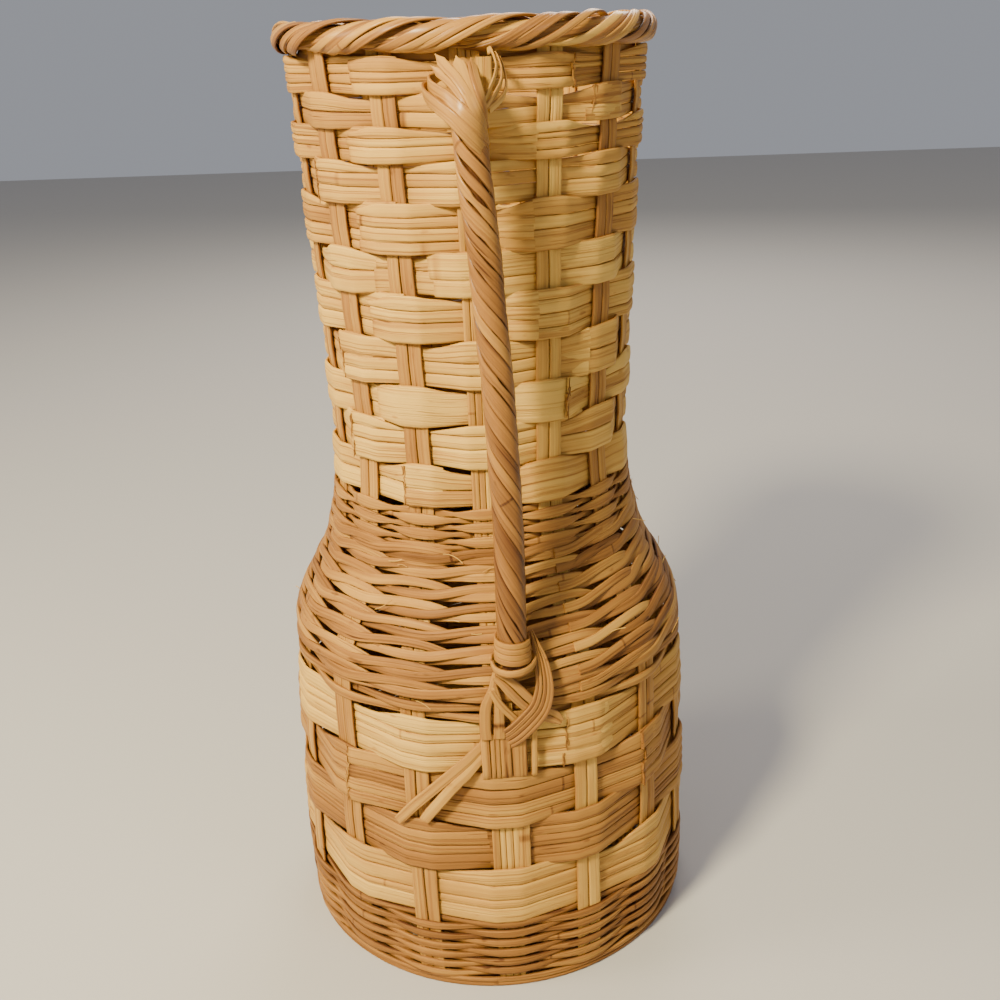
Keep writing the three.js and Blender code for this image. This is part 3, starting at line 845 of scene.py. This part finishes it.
# Wide rows of body and neck
# Each row is one to five flat reeds laid edge to edge and woven as one, in front of one stake and behind the
# next. The reeds spread in front of a stake and draw together behind it. A row is made up of two or three
# lengths, and each new length starts on top of the old one's end.
finishes["straw_reed"] = reed_material("straw_reed", roughness=0.55, grain_depth=0.4 * mm,
                                       groove_strength=0.16, grain_strength=0.65, dark_smoothness=1.4)
row_thickness = 1.6 * mm
row_camber = 0.38 * mm
row_spread = 1.09
row_overlap = 0.75
row_start_rise = 1.5 * mm
row_end_sink = 0.8 * mm
corner_cuts = 0.32
crease_shift = 2.5 * mm
crease_lift = 1.1 * mm
reed_parting = 0.05 * mm

# Number of reeds, tone and start of each length, counted in stakes from the handle towards +X
row_lengths = [
    [(4, 0.2, 5.3), (4, 0.18, 12.3)],
    [(5, 0.5, 15.74), (4, 0.48, 8.4)],
    [(4, 0.42, 13.96), (4, 0.5, 1.73), (4, 0.45, 7.4)],
    [(4, 0.17, 0.65), (4, 0.13, 8.3)],
    [(2, 0.04, 14.65), (1, 0.03, 0.1), (2, 0.08, 6.3)],
    [(3, 0.1, 13.72), (2, 0.12, 0.95), (2, 0.12, 7.5)],
    [(1, 0.05, 14.31), (2, 0.08, 1.22), (2, 0.08, 8.4)],
    [(3, 0.14, 13.67), (2, 0.14, 0.95), (3, 0.2, 7.4)],
    [(3, 0.1, 14.35), (4, 0.17, 0.05), (3, 0.12, 8.4)],
    [(2, 0.12, 14.55), (2, 0.14, 15.35), (2, 0.1, 7.5)],
    [(4, 0.26, 14.31), (3, 0.28, 0.05), (4, 0.3, 6.4)],
    [(3, 0.26, 13.61), (3, 0.28, 6.3)],
    [(3, 0.28, 14.35), (4, 0.3, 0.05), (3, 0.3, 7.4)],
    [(2, 0.2, 15.07), (3, 0.32, 1.49), (2, 0.26, 9.4)],
    [(3, 0.32, 14.53), (4, 0.36, 1.25), (4, 0.33, 8.6)],
]

# Row, counted from 0 at the bottom, then place and reed of each knot
row_knots = [
    (13, 15.25, 0), (10, 14.45, 2), (10, 15.4, 0), (11, 14.2, 1), (9, 15.5, 1), (2, 14.1, 2), (7, 1.2, 1),
]


def row_lines(reeds, full_height, places, cover, random):
    """The lines between the reeds of a row, from its lower to its upper edge."""
    shares = random.uniform(0.6, 1.4, reeds)
    shares = np.concatenate([[0], np.cumsum(shares)]) / shares.sum()
    half_stakes = np.arange(-4, 2 * stake_count + 6)
    lines = []
    for line in range(reeds + 1):
        full = (shares[line] - 0.5) * full_height
        if line in (0, reeds):
            small = random.uniform(0, 0.04, len(half_stakes))
            large = random.uniform(0.14, corner_cuts, len(half_stakes))
            often = (0.65 - 0.5 * far_side(half_stakes)) * (line > 0)
            cuts = np.where(random.uniform(0, 1, len(half_stakes)) < often, large, small)
            drawn = np.interp(places, half_stakes + 0.5, cuts) * np.clip((1 - cover) / 2, 0, 1) ** 0.8
            full = full * (row_spread + 0.1 * far_side(places) - 2 * drawn)
        lines.append(full + wander(places, 1.0, 0.5 * mm, random))
    return lines


def knot_tones(row, reed, places):
    """How much darker the knots make that reed of the row at each place."""
    tones = 0 * places
    for knot_row, knot_place, knot_reed in row_knots:
        if (knot_row, knot_reed) == (row, reed):
            away = (places - knot_place + stake_count / 2) % stake_count - stake_count / 2
            tones = tones + 0.5 * mark(away, 0, 0.022)
    return tones


def frayed_end(point, along, out, sideways, height, random):
    """A few dark fibres that hang across the cut end of a row's reeds."""
    made = []
    for _ in range(random.integers(3, 6)):
        share = np.linspace(-0.5, 0.5, 7)[:, None]
        length = random.uniform(2.5, 6) * mm
        bend = sideways * (0.35 * share ** 2 - 0.05) * length * random.choice([-1, 1])
        middle = point + along * (share * length + random.uniform(-0.4, 0.4) * height) + bend
        middle = middle + sideways * (random.uniform(-0.6, 0.8) * mm + share * random.uniform(-1, 1) * mm)
        middle = middle + out * random.uniform(0.7, 1.1) * mm
        made.append(lay_reed(middle, sideways + 0 * middle, out + 0 * middle, random.uniform(0.3, 0.6) * mm,
                             0.4 * mm, random.uniform(0.3, 0.8)))
    return made


def row_reeds(row):
    """All the reeds of a row, length by length, with the frayed ends that show."""
    random = np.random.default_rng(200 + row)
    fray = np.random.default_rng(400 + row)
    full_height = row_heights[row]
    passed = np.arange(-2, 2 * stake_count + 3)
    in_front = np.array([row_in_front(row, stake) for stake in passed])
    offsets = np.where(in_front, weave_level, -weave_level)
    creases = random.uniform(-crease_shift, crease_shift, (len(passed), 2))
    lifts = random.uniform(0, crease_lift, (len(passed), 2)) * in_front[:, None]
    lengths = sorted(row_lengths[row], key=lambda length: length[2])
    starts = [length[2] for length in lengths]
    ends = starts[1:] + [starts[0] + stake_count]
    made = []
    for (reeds, tone, start), end in zip(lengths, ends):
        end = end + row_overlap
        for reed in range(reeds):
            nominal = ((reed + 0.5) / reeds - 0.5) * full_height
            heights = np.full(len(passed), row_middles[row] + nominal)
            own_creases = creases + random.uniform(-0.7, 0.7, creases.shape) * mm
            path = weft_path(passed, heights, offsets, 0 * heights, 0, flat_steps=6, span_steps=12,
                             soften=1, creases=own_creases, lifts=lifts)
            if reed == 0:
                inside = (path[3] >= start) & (path[3] <= end)
            middle, along, out, places, offset, _ = (values[inside] for values in path)
            if reed == 0:
                lines = row_lines(reeds, full_height, places, offset / weave_level, random)
            cover = np.clip(offset / weave_level, -1, 1)
            low = lines[reed] + reed_parting / 2
            high = lines[reed + 1] - reed_parting / 2 - np.abs(wander(places, 1.1, 0.15 * mm, random))
            width = high - low
            middle = shifted(middle, along, (low + high) / 2 - nominal)
            rise = fade(places - start, 0.5) ** 2 * (1 + cover) / 2 * row_start_rise
            sink = fade(end - places, 0.9) * row_end_sink
            middle = shifted(middle, out, rise - sink + wander(places, 0.8, 0.2 * mm, random))
            kept = places >= start + random.uniform(0, 0.09)
            reed_tone = tone + random.uniform(-0.08, 0.08) + wander(places, 3, 0.08, random)
            # Painted shade darkens the reed where it goes behind a stake; the knots are the cane's own dark
            # marks.
            reed_tone = reed_tone + 0.05 * (1 - cover) + knot_tones(row, reed, places)
            middle, along, out, places, cover, width, reed_tone = (
                values[kept] for values in (middle, along, out, places, cover, width, reed_tone))
            reed_tone = reed_tone + 0.16 * mark(places, places[0], 0.03)
            made.append(lay_reed(middle, along, out, width, row_thickness, reed_tone, row_camber))
            if cover[0] > 0.4:
                made += frayed_end(middle[0], along[0], out[0], unit(middle[1] - middle[0]), width[0], fray)
    return made


for row, node in enumerate(row_nodes):
    plait(node.replace("_row_", "_reeds_"), row_reeds(row), "straw_reed", [node], roundness=0.45)


# Rolled rim
# Every stake's end is bent to the right and rolled with its neighbours round a hoop. Bundles of four glossy
# reeds cross the front from the lower left to the upper right and end inside, like a loose rope.
finishes["glossy_reed"] = reed_material("glossy_reed", roughness=0.36, coat=0.22, grain_depth=0.2 * mm,
                                        grain_strength=0.38)
rim_low, rim_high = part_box("rim_strand")
rim_radius = (rim_high.z - rim_low.z) / 2
rim_height = (rim_high.z + rim_low.z) / 2
rim_middle_radius = outside_radius(neck_top) - wall_half
rim_reed_thickness = 1.4 * mm
rim_bundle_reeds = 4
rim_bundle_start = -8
rim_bundle_spacing = 4.1

# Degrees round the rim's middle, and mm beyond its radius, by share of a bundle's way
bundle_winding = [(0, -125), (0.1, -90), (0.56, 50), (0.82, 115), (1, 190)]
bundle_radius = [(0, -3.8), (0.1, -1.4), (0.34, 1.3), (0.6, 1.4), (0.85, -0.4), (1, -2.5)]
filler_winding = [(0, -85), (0.25, -40), (0.75, 60), (1, 120)]
filler_radius = [(0, -2), (0.3, 0), (0.8, 0), (1, -1.5)]

# How far inside the rim's middle each filler hoop lies, how far below, and its width
filler_hoops = [(0, 0, 8 * mm), (-3 * mm, 1.5 * mm, 5 * mm), (3.2 * mm, 6.5 * mm, 7 * mm)]


def rolled_reed(start, sweep, winding_route, radius_route, radius, width, tone, random):
    """A reed that runs along the rim while it turns round the rim's middle, by its share of the way."""
    share = np.linspace(0, 1, 64)
    winding = np.radians(smoothed(np.interp(share, *np.transpose(winding_route)), 30))
    away = radius + smoothed(np.interp(share, *np.transpose(radius_route)), 12) * mm
    away = away + wander(share, 0.3, 0.35 * mm, random)
    radial = radial_way(start + sweep * share)
    out = radial * np.cos(winding)[:, None] + up * np.sin(winding)[:, None]
    middle = shifted(radial * rim_middle_radius + up * rim_height, out, away)
    side = np.cross(out, np.gradient(middle, axis=0))
    return lay_reed(middle, side, out, width, rim_reed_thickness, tone + wander(share, 0.4, 0.12, random))


def rim_reeds():
    random = np.random.default_rng(61)
    made = []
    for stake in range(stake_count):
        for reed in range(rim_bundle_reeds):
            turned = rim_bundle_spacing * reed + rim_bundle_start + random.uniform(-1, 1)
            start = stake_angle(stake, neck_top) + np.radians(turned)
            sweep = np.radians(52 + random.uniform(-5, 5))
            radius = rim_radius - 1.2 * mm + 0.4 * mm * reed + random.uniform(-0.4, 0.4) * mm
            width = random.uniform(3, 4) * mm
            tone = 0.45 + random.uniform(-0.22, 0.22)
            made.append(rolled_reed(start, sweep, bundle_winding, bundle_radius, radius, width, tone, random))
    return made


def rim_filler_reeds():
    """The hoops inside the rim, and a wide reed from each stake that fills the gaps between the bundles."""
    random = np.random.default_rng(62)
    made = [ring_reed(rim_middle_radius - inset, rim_height - drop, width, 2.6 * mm, 0.55)
            for inset, drop, width in filler_hoops]
    for stake in range(stake_count):
        start = stake_angle(stake, neck_top) + np.radians(8 + random.uniform(-2, 2))
        tone = 0.5 + random.uniform(-0.15, 0.15)
        made.append(rolled_reed(start, np.radians(88), filler_winding, filler_radius, rim_radius - 2.4 * mm,
                                6.4 * mm, tone, random))
    return made


plait("rim_roll", rim_reeds(), "glossy_reed", ["rim_strand"], roundness=0.6)
plait("rim_filler", rim_filler_reeds(), "honey_reed", ["rim_hoop"])


# Handle
# A stiff cane comes from the wall under the rim, bends down and leans a little to the right on its way to the
# shoulder. Six glossy flat reeds are wound round it side by side.
handle_reach = 111.5 * mm
handle_bend_radius = 24 * mm
handle_top = neck_top - 8.1 * mm
handle_lean = 13.1 * mm
handle_lean_end = 262 * mm
handle_lean_power = 1.6
handle_foot_height = 200.5 * mm
handle_core_radius = 5.2 * mm
handle_root = float(outside_radius(handle_top)) - wall_half + stake_thickness / 2 + gap
handle_bend_start = handle_reach - handle_bend_radius
handle_straight_top = max(handle_bend_start - handle_root, 0)
handle_bend_end = handle_straight_top + handle_bend_radius * math.pi / 2
handle_length = handle_bend_end + handle_top - handle_bend_radius - handle_foot_height

wrap_shares = np.array([0.19, 0.13, 0.2, 0.13, 0.17, 0.18])
wrap_start = 5.5 * mm
wrap_end = handle_length - 14 * mm
wrap_turns = 4.3
wrap_slowing = 0.3
wrap_radius = 6.6 * mm
wrap_thickness = 1.4 * mm


def handle_point(travel):
    """The cane's middle, by how far along the cane it is from its root in the wall."""
    turned = np.clip((travel - handle_straight_top) / handle_bend_radius, 0, math.pi / 2)
    fallen = np.maximum(travel - handle_bend_end, 0)
    before = np.minimum(travel, handle_straight_top)
    reach = min(handle_root, handle_bend_start) + before + handle_bend_radius * np.sin(turned)
    height = handle_top - handle_bend_radius + handle_bend_radius * np.cos(turned) - fallen
    share = np.clip((handle_top - height) / (handle_top - handle_lean_end), 0, 1)
    return np.stack([handle_lean * (1 - (1 - share) ** handle_lean_power), -reach, height], -1)


def handle_place(travel):
    """The cane's middle, with the ways along it, to its right and to its front."""
    step = 0.5 * mm
    along = unit(handle_point(travel + step) - handle_point(travel - step))
    right = unit(np.array([1.0, 0, 0]) - along * along[:, :1])
    return handle_point(travel), along, right, -np.cross(right, along)


def wound_reed(travel, turns, radius, width, thickness, tone, camber=0.0):
    """A reed wound round the handle, from the turns that it has made at each place along the handle."""
    middle, _, right, front = handle_place(travel)
    turned = -2 * math.pi * turns
    out = right * np.cos(turned)[:, None] + front * np.sin(turned)[:, None]
    place = shifted(middle, out, radius + 0 * travel)
    return lay_reed(place, np.cross(out, np.gradient(place, axis=0)), out, width, thickness, tone, camber)


def handle_wrap_reeds():
    """Six reeds of unequal width that fill the handle's whole surface, with longer turns further down."""
    random = np.random.default_rng(71)
    share = np.linspace(0, 1, 150)
    travel = wrap_start + (wrap_end - wrap_start) * share
    wound = wrap_turns * ((1 + wrap_slowing) * share - wrap_slowing * share ** 2)
    pitch = (wrap_end - wrap_start) / (wrap_turns * (1 + wrap_slowing - 2 * wrap_slowing * share))
    girth = 2 * math.pi * (wrap_radius + 0.6 * mm)
    steepness = pitch / np.hypot(pitch, girth)
    made = []
    for part, before in zip(wrap_shares, np.cumsum(wrap_shares) - wrap_shares):
        radius = wrap_radius + random.uniform(0, 0.35) * mm + wander(share, 0.08, 0.2 * mm, random)
        wedge = 0.3 * mm + np.maximum(wander(share, 0.035, 3.2 * mm, random) - 1.5 * mm, 0)
        width = part * girth * steepness - wedge
        camber = 1.2 * (width / 2) ** 2 * steepness ** 2 / (2 * wrap_radius)
        tone = 0.52 + 0.22 * share + random.uniform(-0.06, 0.06) + wander(share, 0.15, 0.1, random)
        turns = wound + before + part / 2
        made.append(wound_reed(travel, turns, radius, width, wrap_thickness, tone, camber))
    return made


core_middle, _, core_right, core_front = handle_place(np.linspace(0, handle_length, 60))
core = lay_reed(core_middle, core_right, core_front, 2 * handle_core_radius, 2 * handle_core_radius, 1)
plait("handle_cane", [core], "honey_reed", ["handle_core"], corners=20, roundness=1.0)
plait("handle_wrap", handle_wrap_reeds(), "glossy_reed",
      [f"handle_strand_{number}" for number in range(1, 5)], roundness=0.5)


# Bindings
# A thin reed wound four times round the wrapping's lower end holds it, and one loose ring hangs below it.
binding_low = 207 * mm
binding_turns = 4
binding_pitch = 3 * mm
binding_radius = 8.1 * mm
binding_growth = 0.17 * mm
binding_width = 3.1 * mm
binding_thickness = 1.4 * mm
binding_end = handle_length - (binding_low - handle_foot_height)
ring_height = binding_low - 1.6 * mm

# Places of the loose ring as x, reach and rise in mm
ring_route = [
    (12, 102, 1), (5, 104.5, 0.5), (2.6, 110, -0.2), (4.4, 116, -2), (9, 120, -2.3), (13.6, 121.2, -2),
    (18.5, 119.8, -1.6), (22.8, 115.5, -0.8), (24, 110, 0.8), (19, 104, 2), (12, 102, 2.6),
]


def smooth_route(route):
    """Points on a smooth curve through the route's points."""
    points = np.array(route, float)
    points = np.concatenate([2 * points[:1] - points[1:2], points, 2 * points[-1:] - points[-2:-1]])
    share = np.arange(0, 1, 0.05)[:, None]
    made = []
    for index in range(1, len(points) - 2):
        before, start, end, after = points[index - 1:index + 3]
        made.append(0.5 * (2 * start + (end - before) * share
                           + (2 * before - 5 * start + 4 * end - after) * share ** 2
                           + (3 * start - before - 3 * end + after) * share ** 3))
    return np.concatenate(made + [points[-2:-1]])


def standing_reed(route, base_height, width, tone, facing=None, thickness=1.4 * mm, tip=0.0):
    """A reed through places given as x, reach and rise in mm, facing away from the handle or as told.

    It narrows to a point over the length of its tip.
    """
    x, reach, rise = smooth_route(route).T * mm
    middle = np.stack([x, -reach, base_height + rise], -1)
    if facing is None:
        axis = handle_point(np.linspace(0, handle_length, 400))
        nearest = np.argmin(np.linalg.norm(middle[:, None] - axis[None], axis=-1), axis=1)
        facing = unit(middle - axis[nearest])
    facing = facing + 0 * middle
    if tip:
        width = width * np.clip(run_along(middle) / tip, 0.15, 1)
    return lay_reed(middle, np.cross(facing, np.gradient(middle, axis=0)), facing, width, thickness, tone)


turned = np.linspace(0, binding_turns, 110)
binding = wound_reed(binding_end - binding_pitch * (binding_turns - turned), turned + 0.25,
                     binding_radius + binding_growth * turned, binding_width, binding_thickness, 0.52)
plait("upper_binding_reed", [binding], "honey_reed", ["upper_binding"], roundness=0.45)
plait("lower_binding_reed", [standing_reed(ring_route, ring_height, 4 * mm, 0.48)], "honey_reed",
      ["lower_binding"])


# Legs, splints, crescent and tail
# The reeds of the handle go on down over the body's top row as two legs and tuck in behind the next row.
# Slanting splints, a bent group of reeds and two loose ends lash them to the wall.
no_knot = -1

# Slot, then for each group its number of reeds, tone, knot along it and route of degrees, rise, lift, width.
# The place no_knot lies before the start of every reed, so that no knot shows.
lashings = {
    "leg_left": ("honey_reed", [
        (1, 0.48, 55 * mm, [
            (2.3, 26, 5.6, 3), (1.2, 19, 4.8, 4.5), (-0.5, 11, 3.7, 5.8), (-0.9, 0.4, 3, 6),
            (-0.7, -7.6, 2.7, 6)]),
        (1, 0.5, 22 * mm, [
            (1.7, 20.5, 5.2, 3.5), (2.5, 12.5, 4.1, 4.6), (2.6, 0.2, 3.2, 6), (2.6, -7.4, 2.8, 6.2)]),
        (1, 0.46, no_knot, [
            (-1.1, -5.5, 1.6, 4.6), (-1.1, -15, 2.2, 4.6), (-1, -28, 2.2, 4.6), (-1, -33, -0.6, 4.6)]),
        (2, 0.52, no_knot, [
            (1.4, -5.5, 1.6, 4.9), (1.4, -15, 2.2, 4.9), (1.5, -28, 2.2, 4.9), (1.5, -33, -0.6, 4.9)]),
        (1, 0.46, no_knot, [
            (4, -5.5, 1.6, 5.6), (4, -15, 2.2, 5.8), (4.1, -28, 2.2, 5.8), (4.1, -33, -0.6, 5.8)]),
    ]),
    "leg_right": ("honey_reed", [
        (1, 0.54, no_knot, [(7.5, 6, 0.6, 7), (7.5, -4, 1.4, 8), (7.6, -28, 1.4, 8), (7.7, -33, -0.8, 8)]),
        (1, 0.44, no_knot, [
            (11.3, 5, 0.8, 3), (11.4, -4, 1.5, 3.4), (11.3, -28, 1.5, 3.4), (11.3, -33, -0.8, 3.4)]),
    ]),
    "cross_splint_wide": ("glossy_reed", [
        (2, 0.44, no_knot, [
            (2.2, 25, 6.2, 5), (5.8, 20.3, 5.6, 8.8), (9.5, 12.2, 4, 9), (13.3, 4.8, 2.7, 8.4),
            (16.6, 0.9, 2.3, 7.5), (18.7, -3, 2.2, 4)]),
    ]),
    "cross_splint_narrow": ("honey_reed", [
        (1, 0.34, no_knot, [
            (0.9, 19, 5.4, 3.4), (3.1, 11.7, 4.2, 4.4), (6.5, 3.2, 2.8, 4.4), (7.6, 0.4, 2.2, 4.2)]),
    ]),
    "lashing_crescent": ("glossy_reed", [
        (5, 0.56, no_knot, [
            (12, 42.1, 11, 1.6), (13.1, 35.5, 9, 4.4), (14, 27.6, 7.2, 7.4), (14.1, 17.5, 5.8, 10),
            (12.7, 8.4, 4.9, 11.5), (9.6, 1.1, 4.5, 12), (6.7, -4.7, 3.7, 12), (4.4, -8.6, 2, 12),
            (3.2, -10.6, 1, 12)]),
    ]),
    "lashing_tail": ("honey_reed", [
        (1, 0.34, no_knot, [
            (-0.6, -10.2, 0.9, 5.2), (-3, -14.8, 1.4, 5.4), (-6, -21, 2.4, 5.8), (-10.6, -30.1, 2.5, 6.3),
            (-19, -47.3, 2.4, 6.4), (-23.6, -58.4, 2.2, 6), (-25.2, -62.2, 2, 5.4)]),
        (1, 0.38, 57 * mm, [
            (-0.2, -16.7, 0.9, 5.2), (-3.1, -21.5, 1.4, 5.4), (-6, -28.5, 2.4, 5.6), (-9.6, -36.5, 2.5, 6.2),
            (-14.5, -49.5, 2.4, 6.4), (-16.6, -55.4, 2.2, 6.2), (-17.8, -59, 2, 6)]),
    ]),
}


def laid_reeds(route, count, tone, knot, seed):
    """Reeds side by side on the wall, along a route of degrees, rises, lifts off the wall and widths."""
    random = np.random.default_rng(seed)
    degrees, rise, lift, width = smooth_route(route).T
    width = width * mm
    middle, out, _, _ = wall_place(np.radians(degrees), body_top + rise * mm)
    middle = shifted(middle, out, wall_half + lift * mm)
    side = unit(np.cross(out, np.gradient(middle, axis=0)))
    run = run_along(middle)
    made = []
    for reed in range(count):
        away = ((reed + 0.5) / count - 0.5) * width + wander(run, 0.02, 0.2 * mm, random)
        place = shifted(shifted(middle, side, away), out, wander(run, 0.02, 0.25 * mm, random))
        tones = tone + random.uniform(-0.08, 0.08) + 0.5 * mark(run, knot, 1.4 * mm)
        own_width = np.maximum(width / count - 0.15 * mm, 0.5 * mm)
        made.append(lay_reed(place, side, out, own_width, 1.5 * mm, tones))
    return made


for index, (node, (slot, groups)) in enumerate(lashings.items()):
    reeds = []
    for group, (count, tone, knot, route) in enumerate(groups):
        reeds += laid_reeds(route, count, tone, knot, 80 + 10 * index + group)
    plait(node + "_reeds", reeds, slot, [node])


# Lashing of the handle's top
# The wrapping starts with reeds folded over the handle's top. Two of them come round from behind at the left
# and cross the front, and three thin ones stand on edge at the right, from the rim to the handle.
fold_tip = 5 * mm
edge_facing = np.array([1, -0.12, 0.1])
edge_thickness = 0.9 * mm

# Width in mm, tone and route of each reed
top_folds = [
    (4.4, 0.38, [
        (-10.6, 99, 0.6), (-8.8, 102, -1.6), (-6, 106.5, -4.6), (-2.2, 112.6, -8.4), (1.8, 117, -14.4),
        (5.2, 118, -21.6), (8.2, 115, -28.6), (9, 110, -34)]),
    (4.2, 0.44, [
        (-12.6, 98.6, -3.6), (-9.6, 102, -6.2), (-6, 107.4, -8.8), (-2.4, 113, -12.4), (1.6, 117.4, -18),
        (5.4, 117.6, -25), (8.6, 113.4, -31.6), (9, 108, -36)]),
    (5.6, 0.42, [
        (-2.2, 99, -0.6), (-1.6, 102, -2.4), (-0.8, 105, -4), (0.4, 111, -7.2), (2.4, 116.4, -13.6),
        (5.4, 118, -21), (8.4, 114.5, -28), (9.2, 109, -33)]),
    (4.6, 0.42, [
        (3.8, 99.5, -1.4), (4, 102, -2.8), (4.4, 105, -4.2), (5.2, 111.4, -7.8), (7, 115.4, -14),
        (8.8, 114, -21), (9.4, 109, -27)]),
    (6, 0.36, [
        (-8, 94, -9), (-11.5, 96, -9), (-14, 99, -10), (-12.6, 104, -12.2), (-6.5, 113.5, -16),
        (0, 119.5, -21.3), (6, 118, -27.4), (9.2, 112, -31.6), (8.4, 105, -33)]),
    (6, 0.42, [
        (-11, 94, -12), (-14, 95.5, -12), (-16.4, 99, -13), (-15.2, 104, -15.4), (-10.4, 113, -19),
        (-4.6, 118.7, -23.4), (1, 120, -29), (6.4, 117, -35), (9, 111, -38.6), (8, 105, -40)]),
]
top_edges = [
    (3.2, 0.2, [
        (11, 91, 1), (12.2, 93.5, 1.5), (13.4, 97, -1.2), (14.2, 100, -4.6), (13.3, 103, -8.7),
        (11, 106, -13.6), (8.4, 110, -18.7)]),
    (3.2, 0.36, [
        (14, 92, 0), (15.4, 95, -2.4), (16.4, 98, -6.3), (15.9, 101, -10.8), (12.8, 105, -16),
        (9.6, 109, -20)]),
    (3.4, 0.28, [
        (16, 90.5, -2), (17.2, 94, -5.6), (18.1, 97, -10.3), (17.6, 99, -14.5), (15.3, 102, -17.8),
        (10.6, 107, -21.3)]),
]
left_reeds = [standing_reed(route, neck_top, width * mm, tone, tip=fold_tip)
              for width, tone, route in top_folds]
right_reeds = [standing_reed(route, neck_top, width * mm, tone, edge_facing, edge_thickness)
               for width, tone, route in top_edges]
plait("top_loop_left_reeds", left_reeds, "glossy_reed", ["top_loop_left"])
plait("top_loop_right_reeds", right_reeds, "glossy_reed", ["top_loop_right"])
